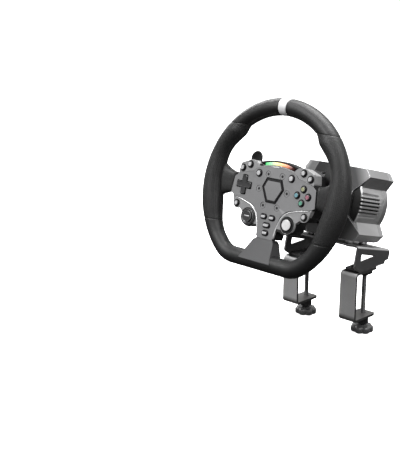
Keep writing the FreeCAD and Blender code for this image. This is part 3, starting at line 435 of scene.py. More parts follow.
def strip_faces(rows, count):
    """Faces of a closed section, rows points round, swept along count places and capped."""
    return quads(rows, count, ring=False, loop=True) + [
        tuple(row * count for row in range(rows)),
        tuple(row * count + count - 1 for row in range(rows))[::-1]]


def caps(rows, count):
    """The two end faces of a stack of rows of count points."""
    last = (rows - 1) * count
    return [tuple(range(count))[::-1], tuple(range(last, last + count))]


def round_trip(centre, radius, sides):
    """Points round a circle, counter-clockwise from its right."""
    turns = (2 * math.pi * k / sides for k in range(sides))
    return [(centre[0] + radius * math.cos(turn), centre[1] + radius * math.sin(turn)) for turn in turns]


def lathe(profile, centre=(0, 0), sides=48):
    """A surface turned about the local Z axis through centre; profile is (radius, height)."""
    verts = [(x, y, height) for radius, height in profile for x, y in round_trip(centre, radius, sides)]
    return verts, quads(len(profile), sides)


def capped(profile, centre=(0, 0), sides=48):
    """A lathe closed at both ends by flat caps."""
    verts, faces = lathe(profile, centre, sides)
    return verts, faces + caps(len(profile), sides)


def joined(*parts):
    """Several vertex and face lists as one."""
    verts, faces = [], []
    for part_verts, part_faces in parts:
        base = len(verts)
        verts += list(part_verts)
        faces += [tuple(i + base for i in face) for face in part_faces]
    return verts, faces


def inset_outline(outline, amount):
    """The outline moved inwards along its corner normals."""
    made = []
    count = len(outline)
    for k in range(count):
        back = (Vector(outline[k]) - Vector(outline[k - 1])).normalized()
        ahead = (Vector(outline[(k + 1) % count]) - Vector(outline[k])).normalized()
        normal = Vector((-(back.y + ahead.y), back.x + ahead.x))
        normal = normal.normalized() if normal.length > 1e-9 else Vector((0, 0))
        made.append(tuple(Vector(outline[k]) + normal * amount))
    return made


def stacked(rings):
    """A closed solid through rings of equal length; each ring is (outline, height)."""
    count = len(rings[0][0])
    verts = [(x, y, height) for outline, height in rings for x, y in outline]
    return verts, quads(len(rings), count) + caps(len(rings), count)


def side_of(line, k):
    """Unit normal, on the left, of an open line at its point k."""
    ahead = Vector(line[min(k + 1, len(line) - 1)]) - Vector(line[max(k - 1, 0)])
    return Vector((-ahead.y, ahead.x)).normalized()


def smoothstep(value):
    value = max(0.0, min(1.0, value))
    return value * value * (3 - 2 * value)


def read(table, where):
    """Straight reading of a table of (position, value)."""
    for (a, first), (b, last) in zip(table, table[1:]):
        if where <= b:
            return first + (last - first) * max(0.0, where - a) / (b - a)
    return table[-1][1]


# ---------------------------------------------------------------- rim
marker_low, marker_high = local_box("top_marker")
TUBE = (marker_high.z - marker_low.z) / 2
RIM_Z = (marker_high.z + marker_low.z) / 2
RIM = marker_high.y - TUBE
FLAT = -local_box("rim_smooth_leather")[0].y - TUBE
CORNER = 40.0
corner_side = math.sqrt((RIM - CORNER) ** 2 - (FLAT - CORNER) ** 2)
corner_turn = math.degrees(math.atan2(FLAT - CORNER, corner_side))
ROUND_RUN = RIM * math.radians(90 + corner_turn)
CORNER_RUN = CORNER * math.radians(90 - corner_turn)
HALF_RUN = ROUND_RUN + CORNER_RUN + corner_side
SIDES_ROUND = 56
HOLE_PITCH, HOLE_ROWS = 2.68, 36


def run_at(angle):
    """Distance along the rim's centre line from its top to the angle, on the right."""
    return RIM * math.radians(90 - angle)


def rim_at(run):
    """Centre line point and outward direction; run is positive clockwise from the top."""
    side = 1 if run >= 0 else -1
    run = abs(run)
    if run <= ROUND_RUN:
        turn = math.radians(90) - run / RIM
        point = (RIM * math.cos(turn), RIM * math.sin(turn))
    elif run <= ROUND_RUN + CORNER_RUN:
        turn = math.radians(-corner_turn) - (run - ROUND_RUN) / CORNER
        point = (corner_side + CORNER * math.cos(turn), CORNER - FLAT + CORNER * math.sin(turn))
    else:
        turn = math.radians(-90)
        point = (HALF_RUN - run, -FLAT)
    return (Vector((side * point[0], point[1], RIM_Z)),
            Vector((side * math.cos(turn), math.sin(turn), 0)))


THUMB = ((-40, 0.0), (-31, 3.2), (-24, 7.0), (-15, 9.5), (-4, 9.0), (8, 6.4), (15, 4.2), (21, 2.3),
         (29, 2.1), (36, 4.2), (42, 5.8), (48, 5.6), (56, 4.6), (60, 4.2))
grip_low, grip_high = local_box("right_grip")


def thumb_swell(run, turn=math.pi):
    """How far the rim swells under the driver's thumbs; it starts sharply at the upper seam."""
    angle = 90 - math.degrees(abs(run) / RIM)
    if angle < THUMB[0][0] or angle > THUMB[-1][0]:
        return 0.0
    height = (RIM + TUBE * math.cos(turn)) * math.sin(math.radians(angle))
    eased = sum(read(THUMB, angle + shift) for shift in (-3, -1.5, 0, 1.5, 3)) / 5
    return eased * smoothstep((grip_high.y + 1 - height) / 13) * ((1 - math.cos(turn)) / 2) ** 2


def level_seam(side, height, gap=0.0):
    """The end of a leather piece along a level seam, as a distance from the rim's top."""
    def where(turn):
        return side * (run_at(math.degrees(math.asin(height / (RIM + TUBE * math.cos(turn))))) + gap)
    return where


def square_end(run):
    """The end of a leather piece cut straight across the rim."""
    return lambda turn: run


def leather_tube(first, last, ends, step=2.2):
    """Padded leather round the rim between two ends, tucked in at both and along its inside."""
    length = abs(last(math.pi / 2) - first(math.pi / 2))
    rows = max(8, round(length / step))
    near = [0, 0.5, 1.0, 1.7, 2.6]
    middle = [length * k / rows for k in range(1, rows)]
    marks = near + [mark for mark in middle if 3.4 < mark < length - 3.4]
    marks += [length - n for n in reversed(near)]
    verts, uvs, loops = [], [], []
    for mark in marks:
        tuck = (ends[0] * math.exp(-(mark / 0.9) ** 1.5)
                + ends[1] * math.exp(-((length - mark) / 0.9) ** 1.5))
        for k in range(SIDES_ROUND):
            turn = 2 * math.pi * k / SIDES_ROUND
            run = first(turn) + (last(turn) - first(turn)) * mark / length
            centre, out = rim_at(run)
            seam = 0.55 * math.exp(-((turn - math.pi) * TUBE / 0.8) ** 2)
            radius = TUBE - 0.05 - tuck + thumb_swell(run, turn) - seam
            verts.append(centre + out * radius * math.cos(turn) + Vector((0, 0, radius * math.sin(turn))))
            uvs.append((run / HOLE_PITCH, HOLE_ROWS * k / SIDES_ROUND))
    faces = quads(len(marks), SIDES_ROUND)
    for a, b, c, d in faces:
        wrap = 0 if b > a else HOLE_ROWS
        loops.append([uvs[a], (uvs[b][0], uvs[b][1] + wrap), (uvs[c][0], uvs[c][1] + wrap), uvs[d]])
    return (verts, faces), loops


marker_half = math.asin(marker_high.x / (RIM + TUBE)) * RIM
for side, name in ((-1, "left"), (1, "right")):
    shape, loops = leather_tube(square_end(side * (marker_half + 0.2)),
                                level_seam(side, grip_high.y, -0.08), (1.0, 0.5))
    piece(f"rim_leather_top_{name}", shape, "wheel", "smooth_leather", uvs=loops,
          replaced=["rim_smooth_leather"])
    shape, loops = leather_tube(level_seam(side, grip_high.y, 0.08), level_seam(side, grip_low.y, -0.08),
                                (0.5, 0.5))
    piece(f"rim_grip_skin_{name}", shape, "wheel", "perforated_leather", uvs=loops,
          replaced=[f"{name}_grip"])


def bottom_tube():
    """The leather round the flat bottom, from the right seam to the left one."""
    right, right_uvs = leather_tube(level_seam(1, grip_low.y, 0.08), square_end(HALF_RUN), (0.5, 0.0))
    left, left_uvs = leather_tube(level_seam(-1, grip_low.y, 0.08), square_end(-HALF_RUN), (0.5, 0.0))
    return joined(right, left), right_uvs + left_uvs


shape, loops = bottom_tube()
bottom = piece("rim_leather_bottom", shape, "wheel", "smooth_leather", uvs=loops,
               replaced=["rim_smooth_leather"])
weld = bottom.modifiers.new("weld", "WELD")
weld.merge_threshold = 2e-5
shape, loops = leather_tube(square_end(0.2 - marker_half), square_end(marker_half - 0.2), (0.75, 0.75), 1.2)
piece("rim_marker_band", shape, "wheel", "marker_leather", uvs=loops, replaced=["top_marker"])


def stitch(centre, along, away, length, thick):
    """One small thread stitch: a bowed, pointed bead lying along a direction."""
    beside = along.cross(away).normalized()
    rings = []
    for k in range(5):
        t = k / 4
        fat = thick * math.sin(math.pi * (0.12 + 0.76 * t))
        middle = centre + along * length * (t - 0.5) + away * (thick * 0.9 * math.sin(math.pi * t) - 0.25)
        rings.append([middle + (beside * math.cos(a) + away * math.sin(a)) * fat
                      for a in (math.pi * q / 3 for q in range(6))])
    return [v for ring in rings for v in ring], quads(5, 6) + caps(5, 6)


def inner_stitches(first, last, spacing=4.2):
    """Cross stitches along the seam on the inside of the rim."""
    made = []
    for k in range(int((last - first) / spacing)):
        run = first + (k + 0.5) * spacing
        centre, out = rim_at(run)
        ahead = (rim_at(run + 0.5)[0] - rim_at(run - 0.5)[0]).normalized()
        reach = TUBE + thumb_swell(run) - 0.25
        lean = (Vector((0, 0, 1)) + ahead * 0.45).normalized()
        made.append(stitch(centre - out * reach, lean, -out, 4.4, 0.42))
    return joined(*made)


spoke_gap = (run_at(20), run_at(-16))
piece("rim_stitching", joined(
    *[inner_stitches(*span) for span in (
        (marker_half + 2, spoke_gap[0]), (spoke_gap[1], HALF_RUN - 34), (-HALF_RUN + 34, -spoke_gap[1]),
        (-spoke_gap[0], -marker_half - 2))]), "wheel", "smooth_leather", "stitch_thread")

# ---------------------------------------------------------------- spokes
SPOKE_TOP = ((0, 17.8), (0.28, 19.6), (0.55, 23.2), (0.8, 29.0), (1, 37.0))
SPOKE_BOTTOM = ((0, -13.8), (0.28, -15.4), (0.55, -18.8), (0.8, -24.6), (1, -33.0))
SPOKE_FRONT = ((0, -0.6), (0.3, 0.3), (0.7, 2.4), (1, 6.0))
SPOKE_BACK = ((0, -13.3), (0.5, -12.6), (1, -8.5))
SPOKE_CORNER = ((0, 5.0), (0.5, 3.6), (1, 2.6))
SPOKE_END = 113.5


def spoke_skin(side):
    """Leather over the side spoke: a pillow that flares into the rim, with a bead near the plate."""
    rows, round_steps = 26, 64
    verts = []
    for row in range(rows + 1):
        u = row / rows
        bead = 0.55 * math.exp(-((u - 0.07) / 0.028) ** 2) - 0.45 * math.exp(-((u - 0.135) / 0.03) ** 2)
        tuck = 1.3 * math.exp(-(u / 0.03) ** 2)
        top, low = read(SPOKE_TOP, u), read(SPOKE_BOTTOM, u)
        front, back = read(SPOKE_FRONT, u), read(SPOKE_BACK, u)
        power = 2 / read(SPOKE_CORNER, u)
        for k in range(round_steps):
            turn = 2 * math.pi * k / round_steps
            c, s = math.cos(turn), math.sin(turn)
            up = (top + low) / 2 + ((top - low) / 2 + bead - tuck) * math.copysign(abs(c) ** power, c)
            depth = (front + back) / 2 + ((front - back) / 2 + bead - tuck) * math.copysign(
                abs(s) ** power, s)
            edge = 80.9 + (12 - up) * 0.12
            verts.append((side * (edge + (SPOKE_END - edge) * u), up, depth))
    return verts, quads(rows + 1, round_steps) + [tuple(range(round_steps))]


for side, name in ((-1, "left"), (1, "right")):
    piece(f"spoke_leather_{name}", spoke_skin(side), "wheel", "smooth_leather",
          replaced=["side_spoke_covers"])

# ---------------------------------------------------------------- buttons
CAP_TOPS = {"action_button_top": "yellow_button", "action_button_bottom": "green_button",
            "action_button_left": "blue_button", "action_button_right": "red_button"}


def pill_ring(middle, spread, radius, height):
    """A round ring, or a pill-shaped one where the two ends are spread apart."""
    points = []
    for k in range(48):
        turn = 2 * math.pi * (k + 0.5) / 48
        shift = spread if math.cos(turn) > 0 else -spread
        points.append((middle.x + shift + radius * math.cos(turn), middle.y + radius * math.sin(turn)))
    return points, height


for node in sorted(frame["nodes"]):
    if not node.endswith("_button") and not node.startswith("action_button"):
        continue
    low, high = local_box(node)
    middle = (low + high) / 2
    half_x, half_y = (high.x - low.x) / 2 - 0.5, (high.y - low.y) / 2 - 0.5
    top, spread = high.z, half_x - half_y
    guide = node == "guide_button"
    inset = 0.5 if guide else 1.05
    skirt = ((0, low.z), (0, top - 1.3), (0.15, top - 0.85), (inset, top - 0.3), (inset, top - 0.9))
    piece(f"{node}_skirt", stacked([pill_ring(middle, spread, half_y - r, z) for r, z in skirt]),
          node, "white_button" if guide else "button_plastic", "gloss_black", replaced=[node])
    crown = [(inset + 0.04, top - 0.68), (inset + 0.04, top - 0.2)]
    for k in range(1, 5):
        shrink = (half_y - inset) * (1 - math.cos(math.pi * k / 10))
        crown.append((inset + 0.04 + shrink * 0.9 + k * 0.16, top - 0.2 + 0.2 * math.sin(math.pi * k / 8)))
    slot = "white_button" if guide else CAP_TOPS.get(node, "button_plastic")
    look = "white_button" if guide else CAP_TOPS.get(node, "button_top")
    piece(f"{node}_face", stacked([pill_ring(middle, spread, half_y - r, z) for r, z in crown]),
          node, slot, look, replaced=[node])
    # Round the guide button the surround is grey: a painted highlight ring on its edge.
    reach = 13.3 if guide else half_y + 1.5
    lip = ((-0.05, -0.6), (0.35, -0.1), (0.2, 0.15), (-0.25, 0.2), (-0.5, 0.0), (-0.5, -0.6))
    verts, faces = stacked([pill_ring(middle, spread, reach + r, z) for r, z in lip])
    piece(f"{node}_surround", (verts, faces[:-2]), "wheel", "dark_plastic",
          "grey_ring_and_highlight" if guide else "dark_plastic")

# ---------------------------------------------------------------- direction pad and rotary knob
pad_low, pad_high = local_box("direction_pad")
pad_middle = (pad_low + pad_high) / 2


def cross_ring(shrink, height):
    """The pad's plus-shaped outline, moved inwards by shrink."""
    reach = (pad_high.x - pad_low.x) / 2 - shrink
    half = 4.75 - shrink
    nick = 1.6
    points = []
    for quarter in range(4):
        c, s = ((1, 0), (0, 1), (-1, 0), (0, -1))[quarter]
        for x, y in ((half, -half), (reach - nick, -half), (reach, nick - half), (reach, half - nick),
                     (reach - nick, half)):
            points.append((pad_middle.x + c * x - s * y, pad_middle.y + s * x + c * y))
    return points, height


pad_top = pad_high.z
pad_under = -3.9
piece("direction_pad_cross", stacked([
    cross_ring(0, pad_under), cross_ring(0, pad_top - 1.0), cross_ring(0.3, pad_top - 0.35),
    cross_ring(0.9, pad_top), cross_ring(2.2, pad_top - 0.25)]), "direction_pad", "dark_plastic",
      "pad_plastic", smooth=False, replaced=["direction_pad"])
piece("direction_pad_ears", joined(*[
    stacked([([(pad_middle.x + x, pad_middle.y + side * y) for x, y in (
        (-1.35, 3.1), (1.35, 3.1), (1.35, 4.2), (-1.35, 4.2))][::side], z) for z in (-7.2, -6.2, -3.8)])
    for side in (-1, 1)]), "direction_pad", "dark_plastic", replaced=["direction_pad"])

knob_low, knob_high = local_box("rotary_knob")
knob_middle = (knob_low + knob_high) / 2
knob_reach = (knob_high.x - knob_low.x) / 2


def knob_shape():
    """Turned knob: a ribbed skirt, two grooves and a raised cap."""
    profile = [(knob_reach - 0.2, 0.15), (knob_reach, 0.6), (knob_reach, 1.5), (knob_reach - 0.5, 2.0),
               (knob_reach - 1.6, 2.2), (knob_reach - 2.0, 1.4), (knob_reach - 2.9, 1.4),
               (knob_reach - 3.1, 2.2), (knob_reach - 3.9, 2.2), (9.3, 1.5), (8.8, 1.6), (8.7, 3.9),
               (8.3, 4.35), (7.7, 4.4), (7.3, 4.1), (0.01, 4.0)]
    sides = 144
    verts, faces = lathe(profile, (knob_middle.x, knob_middle.y), sides)
    for k in range(sides):
        pull = 1 - (0.28 if k % 4 < 2 else 0.0) / knob_reach
        for row in (1, 2):
            x, y, z = verts[row * sides + k]
            verts[row * sides + k] = (knob_middle.x + (x - knob_middle.x) * pull,
                                      knob_middle.y + (y - knob_middle.y) * pull, z)
    return verts, faces + caps(len(profile), sides)


def turned_ring(reach, width, low, high, centre):
    """A thin ring with a rounded top."""
    return lathe([(reach - width, low), (reach - width, high - width / 4), (reach - width * 0.7, high),
                  (reach - width * 0.3, high), (reach, high - width / 4), (reach, low),
                  (reach - width, low)], centre, 72)


knob_centre = (knob_middle.x, knob_middle.y)
rounded(piece("rotary_knob_grip", knob_shape(), "rotary_knob", "dark_plastic", "knob_rubber",
              replaced=["rotary_knob"]), 0.12, 2, 35)
piece("rotary_knob_rings", joined(turned_ring(11.3, 0.75, 1.9, 2.5, knob_centre),
                                  turned_ring(8.75, 0.6, 3.6, 4.5, knob_centre)),
      "rotary_knob", "button_plastic", "grey_ring_and_highlight", replaced=["rotary_knob"])
bar = [(knob_middle.x + x, knob_middle.y + 0.6 + y) for x, y in (
    (-4.6, -0.9), (4.6, -0.9), (5.0, -0.5), (5.0, 0.5), (4.6, 0.9), (-4.6, 0.9), (-5.0, 0.5), (-5.0, -0.5))]
piece("rotary_knob_pointer", stacked([(bar, 3.9), (bar, 4.12), (inset_outline(bar, 0.15), 4.2)]),
      "rotary_knob", "white_button", "button_top", replaced=["rotary_knob"])

# ---------------------------------------------------------------- badge border and screw rings
badge_high = local_box("centre_badge")[1]
BADGE_FLANGE = 3.6
badge_half, badge_up = badge_high.x - 1.1 * BADGE_FLANGE, badge_high.y - BADGE_FLANGE


def badge_ring(out, height):
    """The badge's outline, moved outwards."""
    right = ((13.3 + 0.7 * out, badge_up + out), (badge_half + 1.1 * out, 4),
             (8 + 0.6 * out, -badge_up - out))
    return [(-x, y) for x, y in reversed(right)] + list(right), height


verts, faces = stacked([badge_ring(*at) for at in (
    (-1.9, 0.4), (-1.7, 0.62), (-0.2, 0.62), (0.1, 0.4), (0.3, -1.1), (2.1, -1.1), (2.3, -0.2), (2.5, 0.08),
    (2.9, 0.1), (3.1, -0.2))])
piece("badge_border", (verts, faces[:-2]), "wheel", "dark_plastic", smooth=False)
screw_centres = [(27.6 * math.cos(math.radians(a)), 27.6 * math.sin(math.radians(a)))
                 for a in range(0, 360, 60)]
piece("screw_rings", joined(*[turned_ring(5.2, 0.55, -0.6, 0.06, at) for at in screw_centres]),
      "wheel", "dark_plastic", "gloss_black")
piece("screw_sockets", joined(*[capped([(2.2, -1.0), (2.2, -0.2), (1.9, -0.12)], at, 6)
                                for at in screw_centres]), "wheel", "dark_plastic", smooth=False)

# ---------------------------------------------------------------- light strip
led_low, led_high = local_box("led_bar")


def bent_bar(lower, upper, low, high):
    """A bar between two curves, each (half width, middle height, end height)."""
    outline = []
    for half, middle, end in (lower, upper):
        row = [(half * t, end + (middle - end) * (1 - t * t)) for t in (k / 16 - 1 for k in range(33))]
        outline += row if not outline else row[::-1]
    return stacked([(outline, low), (outline, high - 0.7),
                    (inset_outline(outline, 0.25), high - 0.2), (inset_outline(outline, 0.7), high)])


strip_top = led_high.y - 1.8
piece("led_strip", bent_bar((26, 38.6, 35.7), (26.5, strip_top - 1.0, 40.1), -10.8, -3.7), "wheel", "led",
      replaced=["led_bar"])
piece("led_visor", bent_bar((36, strip_top - 0.9, 37.4), (37.6, led_high.y, 40.5), -10.9, -4.8), "wheel",
      "dark_plastic", replaced=["led_bar"])
piece("led_hood", bent_bar((33.5, 38.6, 34.2), (37.6, led_high.y, 40.5), led_low.z, -11.0), "wheel",
      "dark_plastic", replaced=["led_bar"])

# ---------------------------------------------------------------- light pods round the plate
trim_high = local_box("light_trims")[1]


POD_LEAN = 0.24


def pod_skirt(outline, depth):
    """A thin wall hung from a pod's outer edge; outline runs along the edge, open at its ends."""
    verts = []
    rows = ((0.35, trim_high.z - 0.9), (0.0, trim_high.z - 1.6), (0.0, depth + 0.8),
            (0.35, depth), (0.75, depth + 0.3), (0.75, trim_high.z - 0.9))
    for shrink, height in rows:
        slope = POD_LEAN * (trim_high.z - height) / (trim_high.z - depth)
        for k, point in enumerate(outline):
            moved = Vector(point) + side_of(outline, k) * (shrink + slope)
            verts.append((moved.x, moved.y, height))
    return verts, strip_faces(len(rows), len(outline))


UPPER_POD = ((73.3, 18.6), (74.5, 20.7), (71.8, 34.5), (52.2, 41.8), (40.9, 40.1), (36.6, 36.8))
LOWER_POD = ((27, -58.1), (35.5, -58.3), (43, -56.4), (49, -50), (53.3, -40.7), (60.5, -34.9),
             (65.5, -36.6), (70.3, -35.0), (75.1, -27), (78.5, -17.3))


def mirrored_line(line):
    return tuple((-x, y) for x, y in reversed(line))


def eased(line, radius=2.0):
    """An open line with its inner corners rounded off."""
    made = [line[0]]
    for k in range(1, len(line) - 1):
        here = Vector(line[k])
        back, ahead = Vector(line[k - 1]) - here, Vector(line[k + 1]) - here
        first = here + back.normalized() * min(radius, back.length * 0.45)
        last = here + ahead.normalized() * min(radius, ahead.length * 0.45)
        for s in range(5):
            t = s / 4
            made.append(tuple((1 - t) ** 2 * first + 2 * t * (1 - t) * here + t * t * last))
    return made + [line[-1]]


for name, line, depth in (("upper", UPPER_POD, -19.0), ("lower", LOWER_POD, -9.0)):
    for side, edge in (("right", line), ("left", mirrored_line(line))):
        piece(f"pod_skirt_{name}_{side}", pod_skirt(eased(edge), depth), "wheel", "light_plastic",
              "pod_side", smooth=False)


def bead(line, width, low, high):
    """A bevelled bead along an open line; it stands on low and reaches high."""
    section = ((-width / 2, low), (-width / 2, high - 0.55), (-width / 4, high - 0.1), (width / 8, high),
               (width / 2, high - 0.9), (width / 2, low))
    verts = []
    for offset, height in section:
        for k, point in enumerate(line):
            thin = min(1.0, (min(k, len(line) - 1 - k) + 0.6) / 3.0)
            moved = Vector(point) + side_of(line, k) * offset * thin
            verts.append((moved.x, moved.y, height))
    return verts, strip_faces(len(section), len(line))


PLATE_CURVE = ((78.2, -17.6), (61, -20.9), (46, -24.4), (38.5, -26.7), (32.2, -30.4), (26.6, -36.6),
               (22.6, -43.6), (20.4, -50), (18.3, -57.6), (17.0, -66.0), (16.6, -71.0))
# Beads along the plate's lower edges, near-white: painted highlight on a real edge.
for side, edge in (("right", PLATE_CURVE), ("left", mirrored_line(PLATE_CURVE))):
    piece(f"plate_edge_bead_{side}", bead(eased(edge, 4.0), 1.7, -3.2, 0.5), "wheel", "light_plastic",
          "trim_painted_highlight")

# ---------------------------------------------------------------- quick release
collar_low, collar_high = local_box("quick_release_collar")
collar_reach, bore = collar_high.x, 30.2


def collar_shape():
    """Grip collar: a wide ribbed band between two smooth shoulders."""
    back, front = collar_low.z, collar_high.z
    wide, shoulder, groove = collar_reach, collar_reach - 2.0, collar_reach - 0.8
    outline = [(bore, back + 0.3), (bore + 1, back), (wide - 2.6, back), (wide - 1.2, back + 0.8),
               (wide - 0.9, back + 3.4), (shoulder, back + 3.9), (shoulder, back + 4.7), (wide, back + 5.5)]
    for k in range(int((front - back - 11.5) / 2.5)):
        start = back + 6.2 + k * 2.5
        outline += [(wide, start), (groove, start + 0.4), (groove, start + 1.1), (wide, start + 1.5)]
    outline += [(wide, front - 4.6), (wide - 1.8, front - 3.8), (wide - 1.8, front - 3.0),
                (wide - 1.0, front - 2.4), (wide - 1.4, front - 0.6), (wide - 3, front),
                (bore + 1, front), (bore, front - 0.3), (bore, back + 0.3)]
    return lathe(outline, (0, 0), 96)


rounded(piece("quick_release_grip", collar_shape(), "quick_release_collar", "bright_steel",
              "collar_black", replaced=["quick_release_collar"]), 0.15, 2, 32)


# ---------------------------------------------------------------- desk clamps
def threaded(radius, pitch, low, high, middle, sides=20):
    """A screw thread: every turn rises by one pitch, with a round crest and root."""
    steps = 8
    rows = int((high - low) / pitch * steps)
    verts, faces = [], []
    for row in range(rows + 1):
        wave = abs(((row / steps) % 1.0) - 0.5) * 2
        reach = radius - 0.75 * (0.5 - 0.5 * math.cos(math.pi * wave))
        for k, (x, y) in enumerate(round_trip(middle, reach, sides)):
            height = low + (row / steps + k / sides) * pitch
            verts.append((x, y, min(high, max(low, height - pitch * 0.5))))
    for row in range(rows):
        for k in range(sides):
            nxt = (k + 1) % sides
            if nxt:
                faces.append((row * sides + k, row * sides + nxt, (row + 1) * sides + nxt,
                              (row + 1) * sides + k))
            elif row + steps + 1 <= rows:
                a = row + steps
                faces.append((row * sides + k, a * sides, (a + 1) * sides, (row + 1) * sides + k))
    return verts, faces


def star_outline(middle, reach, shrink=0.0, lobes=7):
    points = []
    for k in range(lobes * 20):
        turn = 2 * math.pi * k / (lobes * 20)
        wave = 0.5 - 0.5 * math.cos(lobes * turn)
        radius = reach - shrink - 3.4 * (1 - wave ** 0.45)
        points.append((middle.x + radius * math.cos(turn), middle.y + radius * math.sin(turn)))
    return points


star_height = 12.0
for side in ("left", "right"):
    low, high = local_box(f"{side}_clamp_screw", DESK)
    middle = (low + high) / 2
    reach = (high.x - low.x) / 2
    base = low.z
    star = stacked([(star_outline(middle, reach, s), base + h) for s, h in (
        (3.6, 0.0), (1.6, 0.35), (0.5, 1.2), (0.0, 2.6), (0.0, 8.2), (0.4, 9.4), (1.4, 10.4), (3.4, 11.0),
        (6.5, 11.3))])
    collar = capped([(9.0, base + 11.0), (9.0, base + 11.7), (8.6, base + 12.0), (5.2, base + 12.0)],
                    (middle.x, middle.y))
    piece(f"{side}_star_knob", joined(star, collar), f"{side}_clamp_screw", "star_plastic", place=DESK,
          replaced=[f"{side}_clamp_screw"])
    shaft = joined(threaded(4.0, 1.75, base + star_height - 0.4, high.z - 4.2, middle),
                   capped([(3.35, base + star_height - 0.5), (3.35, high.z - 0.8), (2.6, high.z)],
                          (middle.x, middle.y), 24))
    piece(f"{side}_clamp_thread", shaft, f"{side}_clamp_screw", "bright_steel", "screw_steel", place=DESK,
          replaced=[f"{side}_clamp_screw"])

nut_low, nut_high = local_box("clamp_nuts", DESK)
nut_reach = (nut_high.y - nut_low.y) / 2
nut_shapes = []
for side in ("left", "right"):
    middle = centre_of(f"{side}_clamp_screw", DESK)
    rings = []
    for shrink, height in ((1.4, nut_low.z), (0.5, nut_low.z + 0.5), (0.0, nut_low.z + 1.4),
                           (0.0, nut_high.z - 2.6), (0.5, nut_high.z - 2.1), (0.5, nut_high.z)):
        crest = round_trip(middle, nut_reach - shrink, 120)
        root = round_trip(middle, nut_reach - shrink - 0.35, 120)
        rings.append(([crest[k] if k % 5 < 3 else root[k] for k in range(120)], height))
    nut_shapes.append(stacked(rings))
piece("clamp_nut_knurls", joined(*nut_shapes), "base", "zinc_steel", "nut_black", place=DESK,
      smooth=False, replaced=["clamp_nuts"])

# ---------------------------------------------------------------- CAD nodes that stay as they are
CAD_LOOKS = {
    "face_plate": ("plate_face_painted_shade", 0.45), "plate_screws": ("plate_insert_painted_shade", 0.2),
    "centre_badge": ("plate_insert_painted_shade", 0.5), "light_trims": ("pod_face", 0.22),
    "button_frame": ("dark_plastic", 0.3), "hub_housing": ("dark_plastic", 0.6),
    "circuit_board": ("board_green", 0.1), "rim_core": ("base_aluminium", 0.4),
    "bottom_spoke_cover": ("spoke_aluminium", 0.8), "paddle_pins": ("zinc_steel", 0.2),
    "left_paddle": ("paddle_black", 0.9), "right_paddle": ("paddle_black", 0.9),
    "quick_release_hub": ("collar_black", 0.5), "drive_shaft": ("base_aluminium", 0.4),
    "pad_pivot": ("dark_plastic", 0.2), "rotor": ("laminations", 0.3),
    "motor_housing": ("motor_metal_painted_shade", 0.5), "front_cover": ("nose_aluminium_painted_shade", 0.9),
    "top_cover": ("base_aluminium", 0.9), "bottom_cover": ("base_aluminium", 0.9),
    "rear_cover": ("rear_metal", 0.6), "stator": ("laminations", 0.2),
    "bearings": ("zinc_steel", 0.3), "control_board": ("socket_black", 0.2),
    "base_spacers": ("base_aluminium", 0.4), "table_bracket": ("bracket_steel", 0.7),
    "bracket_bolts": ("nut_black", 0.3), "left_clamp_frame": ("clamp_steel", 0.5),
    "right_clamp_frame": ("clamp_steel", 0.5), "left_clamp_pad": ("rubber", 0.5),
    "right_clamp_pad": ("rubber", 0.5),
}
# Painted highlights: the bevel faces of these nodes get a lighter, glossier metal.
PAINTED_HIGHLIGHT_EDGES = {
    "front_cover": "metal_edge_highlight", "top_cover": "metal_edge_highlight", "bottom_cover": "metal_edge_highlight",
    "table_bracket": "steel_edge_highlight",
}
for node, (look, edge) in CAD_LOOKS.items():
    thing = frame["nodes"][node]
    rounded(thing, edge)
    for slot in thing.material_slots:
        slot.material = MATERIALS[look]
    if node in PAINTED_HIGHLIGHT_EDGES:
        thing.data.materials.append(MATERIALS[PAINTED_HIGHLIGHT_EDGES[node]])
        thing.modifiers["edges"].material = len(thing.data.materials) - 1

# ---------------------------------------------------------------- floor, light and camera
floor_mesh = bpy.data.meshes.new("floor")
floor_level = cad_box[0][2] - 0.0004
FLOOR = 900
corners = [(x * FLOOR, y * FLOOR, floor_level) for x, y in ((-1, -1), (1, -1), (1, 1), (-1, 1))]
floor_mesh.from_pydata(corners, [], [(0, 1, 2, 3)])
floor = bpy.data.objects.new("floor", floor_mesh)
scene.collection.objects.link(floor)
paper = Nodes("paper", (0.9, 0.9, 0.9), 0.9, Emission_Strength=0.95)
paper.shader.inputs["Emission Color"].default_value = (1, 1, 1, 1)
fibres = paper.ramp(paper.noise(3, 2), 0.3, 0.7, 0, 1)
paper.colour(paper.mix(fibres, (0.9, 0.9, 0.9), (0.93, 0.93, 0.93)))
floor.data.materials.append(paper.material)
floor.visible_diffuse = floor.visible_glossy = False


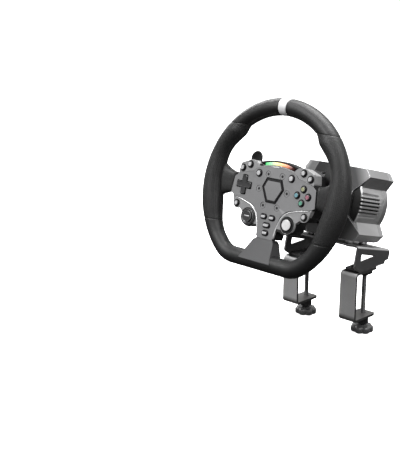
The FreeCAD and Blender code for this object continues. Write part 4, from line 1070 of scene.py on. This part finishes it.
def dome(strength, stops):
    """A studio dome whose light depends only on height; each stop is (height from -1 to 1, grey)."""
    world = bpy.data.worlds.new("studio")
    world.use_nodes = True
    tree = world.node_tree
    coords = tree.nodes.new("ShaderNodeTexCoord")
    axes = tree.nodes.new("ShaderNodeSeparateXYZ")
    height = tree.nodes.new("ShaderNodeMapRange")
    height.inputs["From Min"].default_value = -1
    greys = tree.nodes.new("ShaderNodeValToRGB")
    backdrop = tree.nodes["Background"]
    backdrop.inputs["Strength"].default_value = strength
    for source, sink in ((coords.outputs["Generated"], axes.inputs["Vector"]),
                         (axes.outputs["Z"], height.inputs["Value"]),
                         (height.outputs["Result"], greys.inputs["Fac"]),
                         (greys.outputs["Color"], backdrop.inputs["Color"])):
        tree.links.new(source, sink)
    elements = greys.color_ramp.elements
    while len(elements) < len(stops):
        elements.new(0.5)
    for element, (place, grey) in zip(elements, stops):
        element.position = (place + 1) / 2
        element.color = (grey, grey, grey, 1)
    return world


scene.world = dome(1.4, ((-1.0, 0.03), (-0.02, 0.05), (-0.005, 0.9), (0.1, 0.9), (0.16, 0.3),
                         (0.4, 0.38), (0.7, 0.75), (1.0, 1.0)))

target = Vector([(a + b) / 2 for a, b in zip(*cad_box)])


def softbox(name, place, wide, tall, watts):
    """A soft rectangular lamp that looks at the wheel."""
    data = bpy.data.lights.new(name, "AREA")
    data.shape = "RECTANGLE"
    data.size, data.size_y, data.energy = wide, tall, watts
    lamp = bpy.data.objects.new(name, data)
    lamp.location = place
    lamp.rotation_euler = (Vector(place) - target).to_track_quat("Z", "Y").to_euler()
    scene.collection.objects.link(lamp)


softbox("key", (1.3, -0.4, 1.3), 0.7, 0.7, 13)
softbox("front", (-0.7, -1.3, 1.3), 0.8, 0.8, 24)
softbox("top", (-0.1, 0.3, 1.7), 1.1, 1.1, 44)
softbox("edge", (-1.1, 0.3, 0.9), 0.4, 1.0, 9)

eye = Vector((0.8230, -1.0699, 0.4175))
look = Vector((-0.6959, 0.6725, -0.2521))
camera_data = bpy.data.cameras.new("camera")
camera_data.sensor_width, camera_data.lens = 36.0, 68.06
camera_data.clip_start, camera_data.clip_end = 0.05, 2000
camera = bpy.data.objects.new("camera", camera_data)
camera.location = eye
camera.rotation_euler = look.to_track_quat("-Z", "Y").to_euler()
scene.collection.objects.link(camera)
scene.camera = camera
scene.view_settings.view_transform = "Standard"
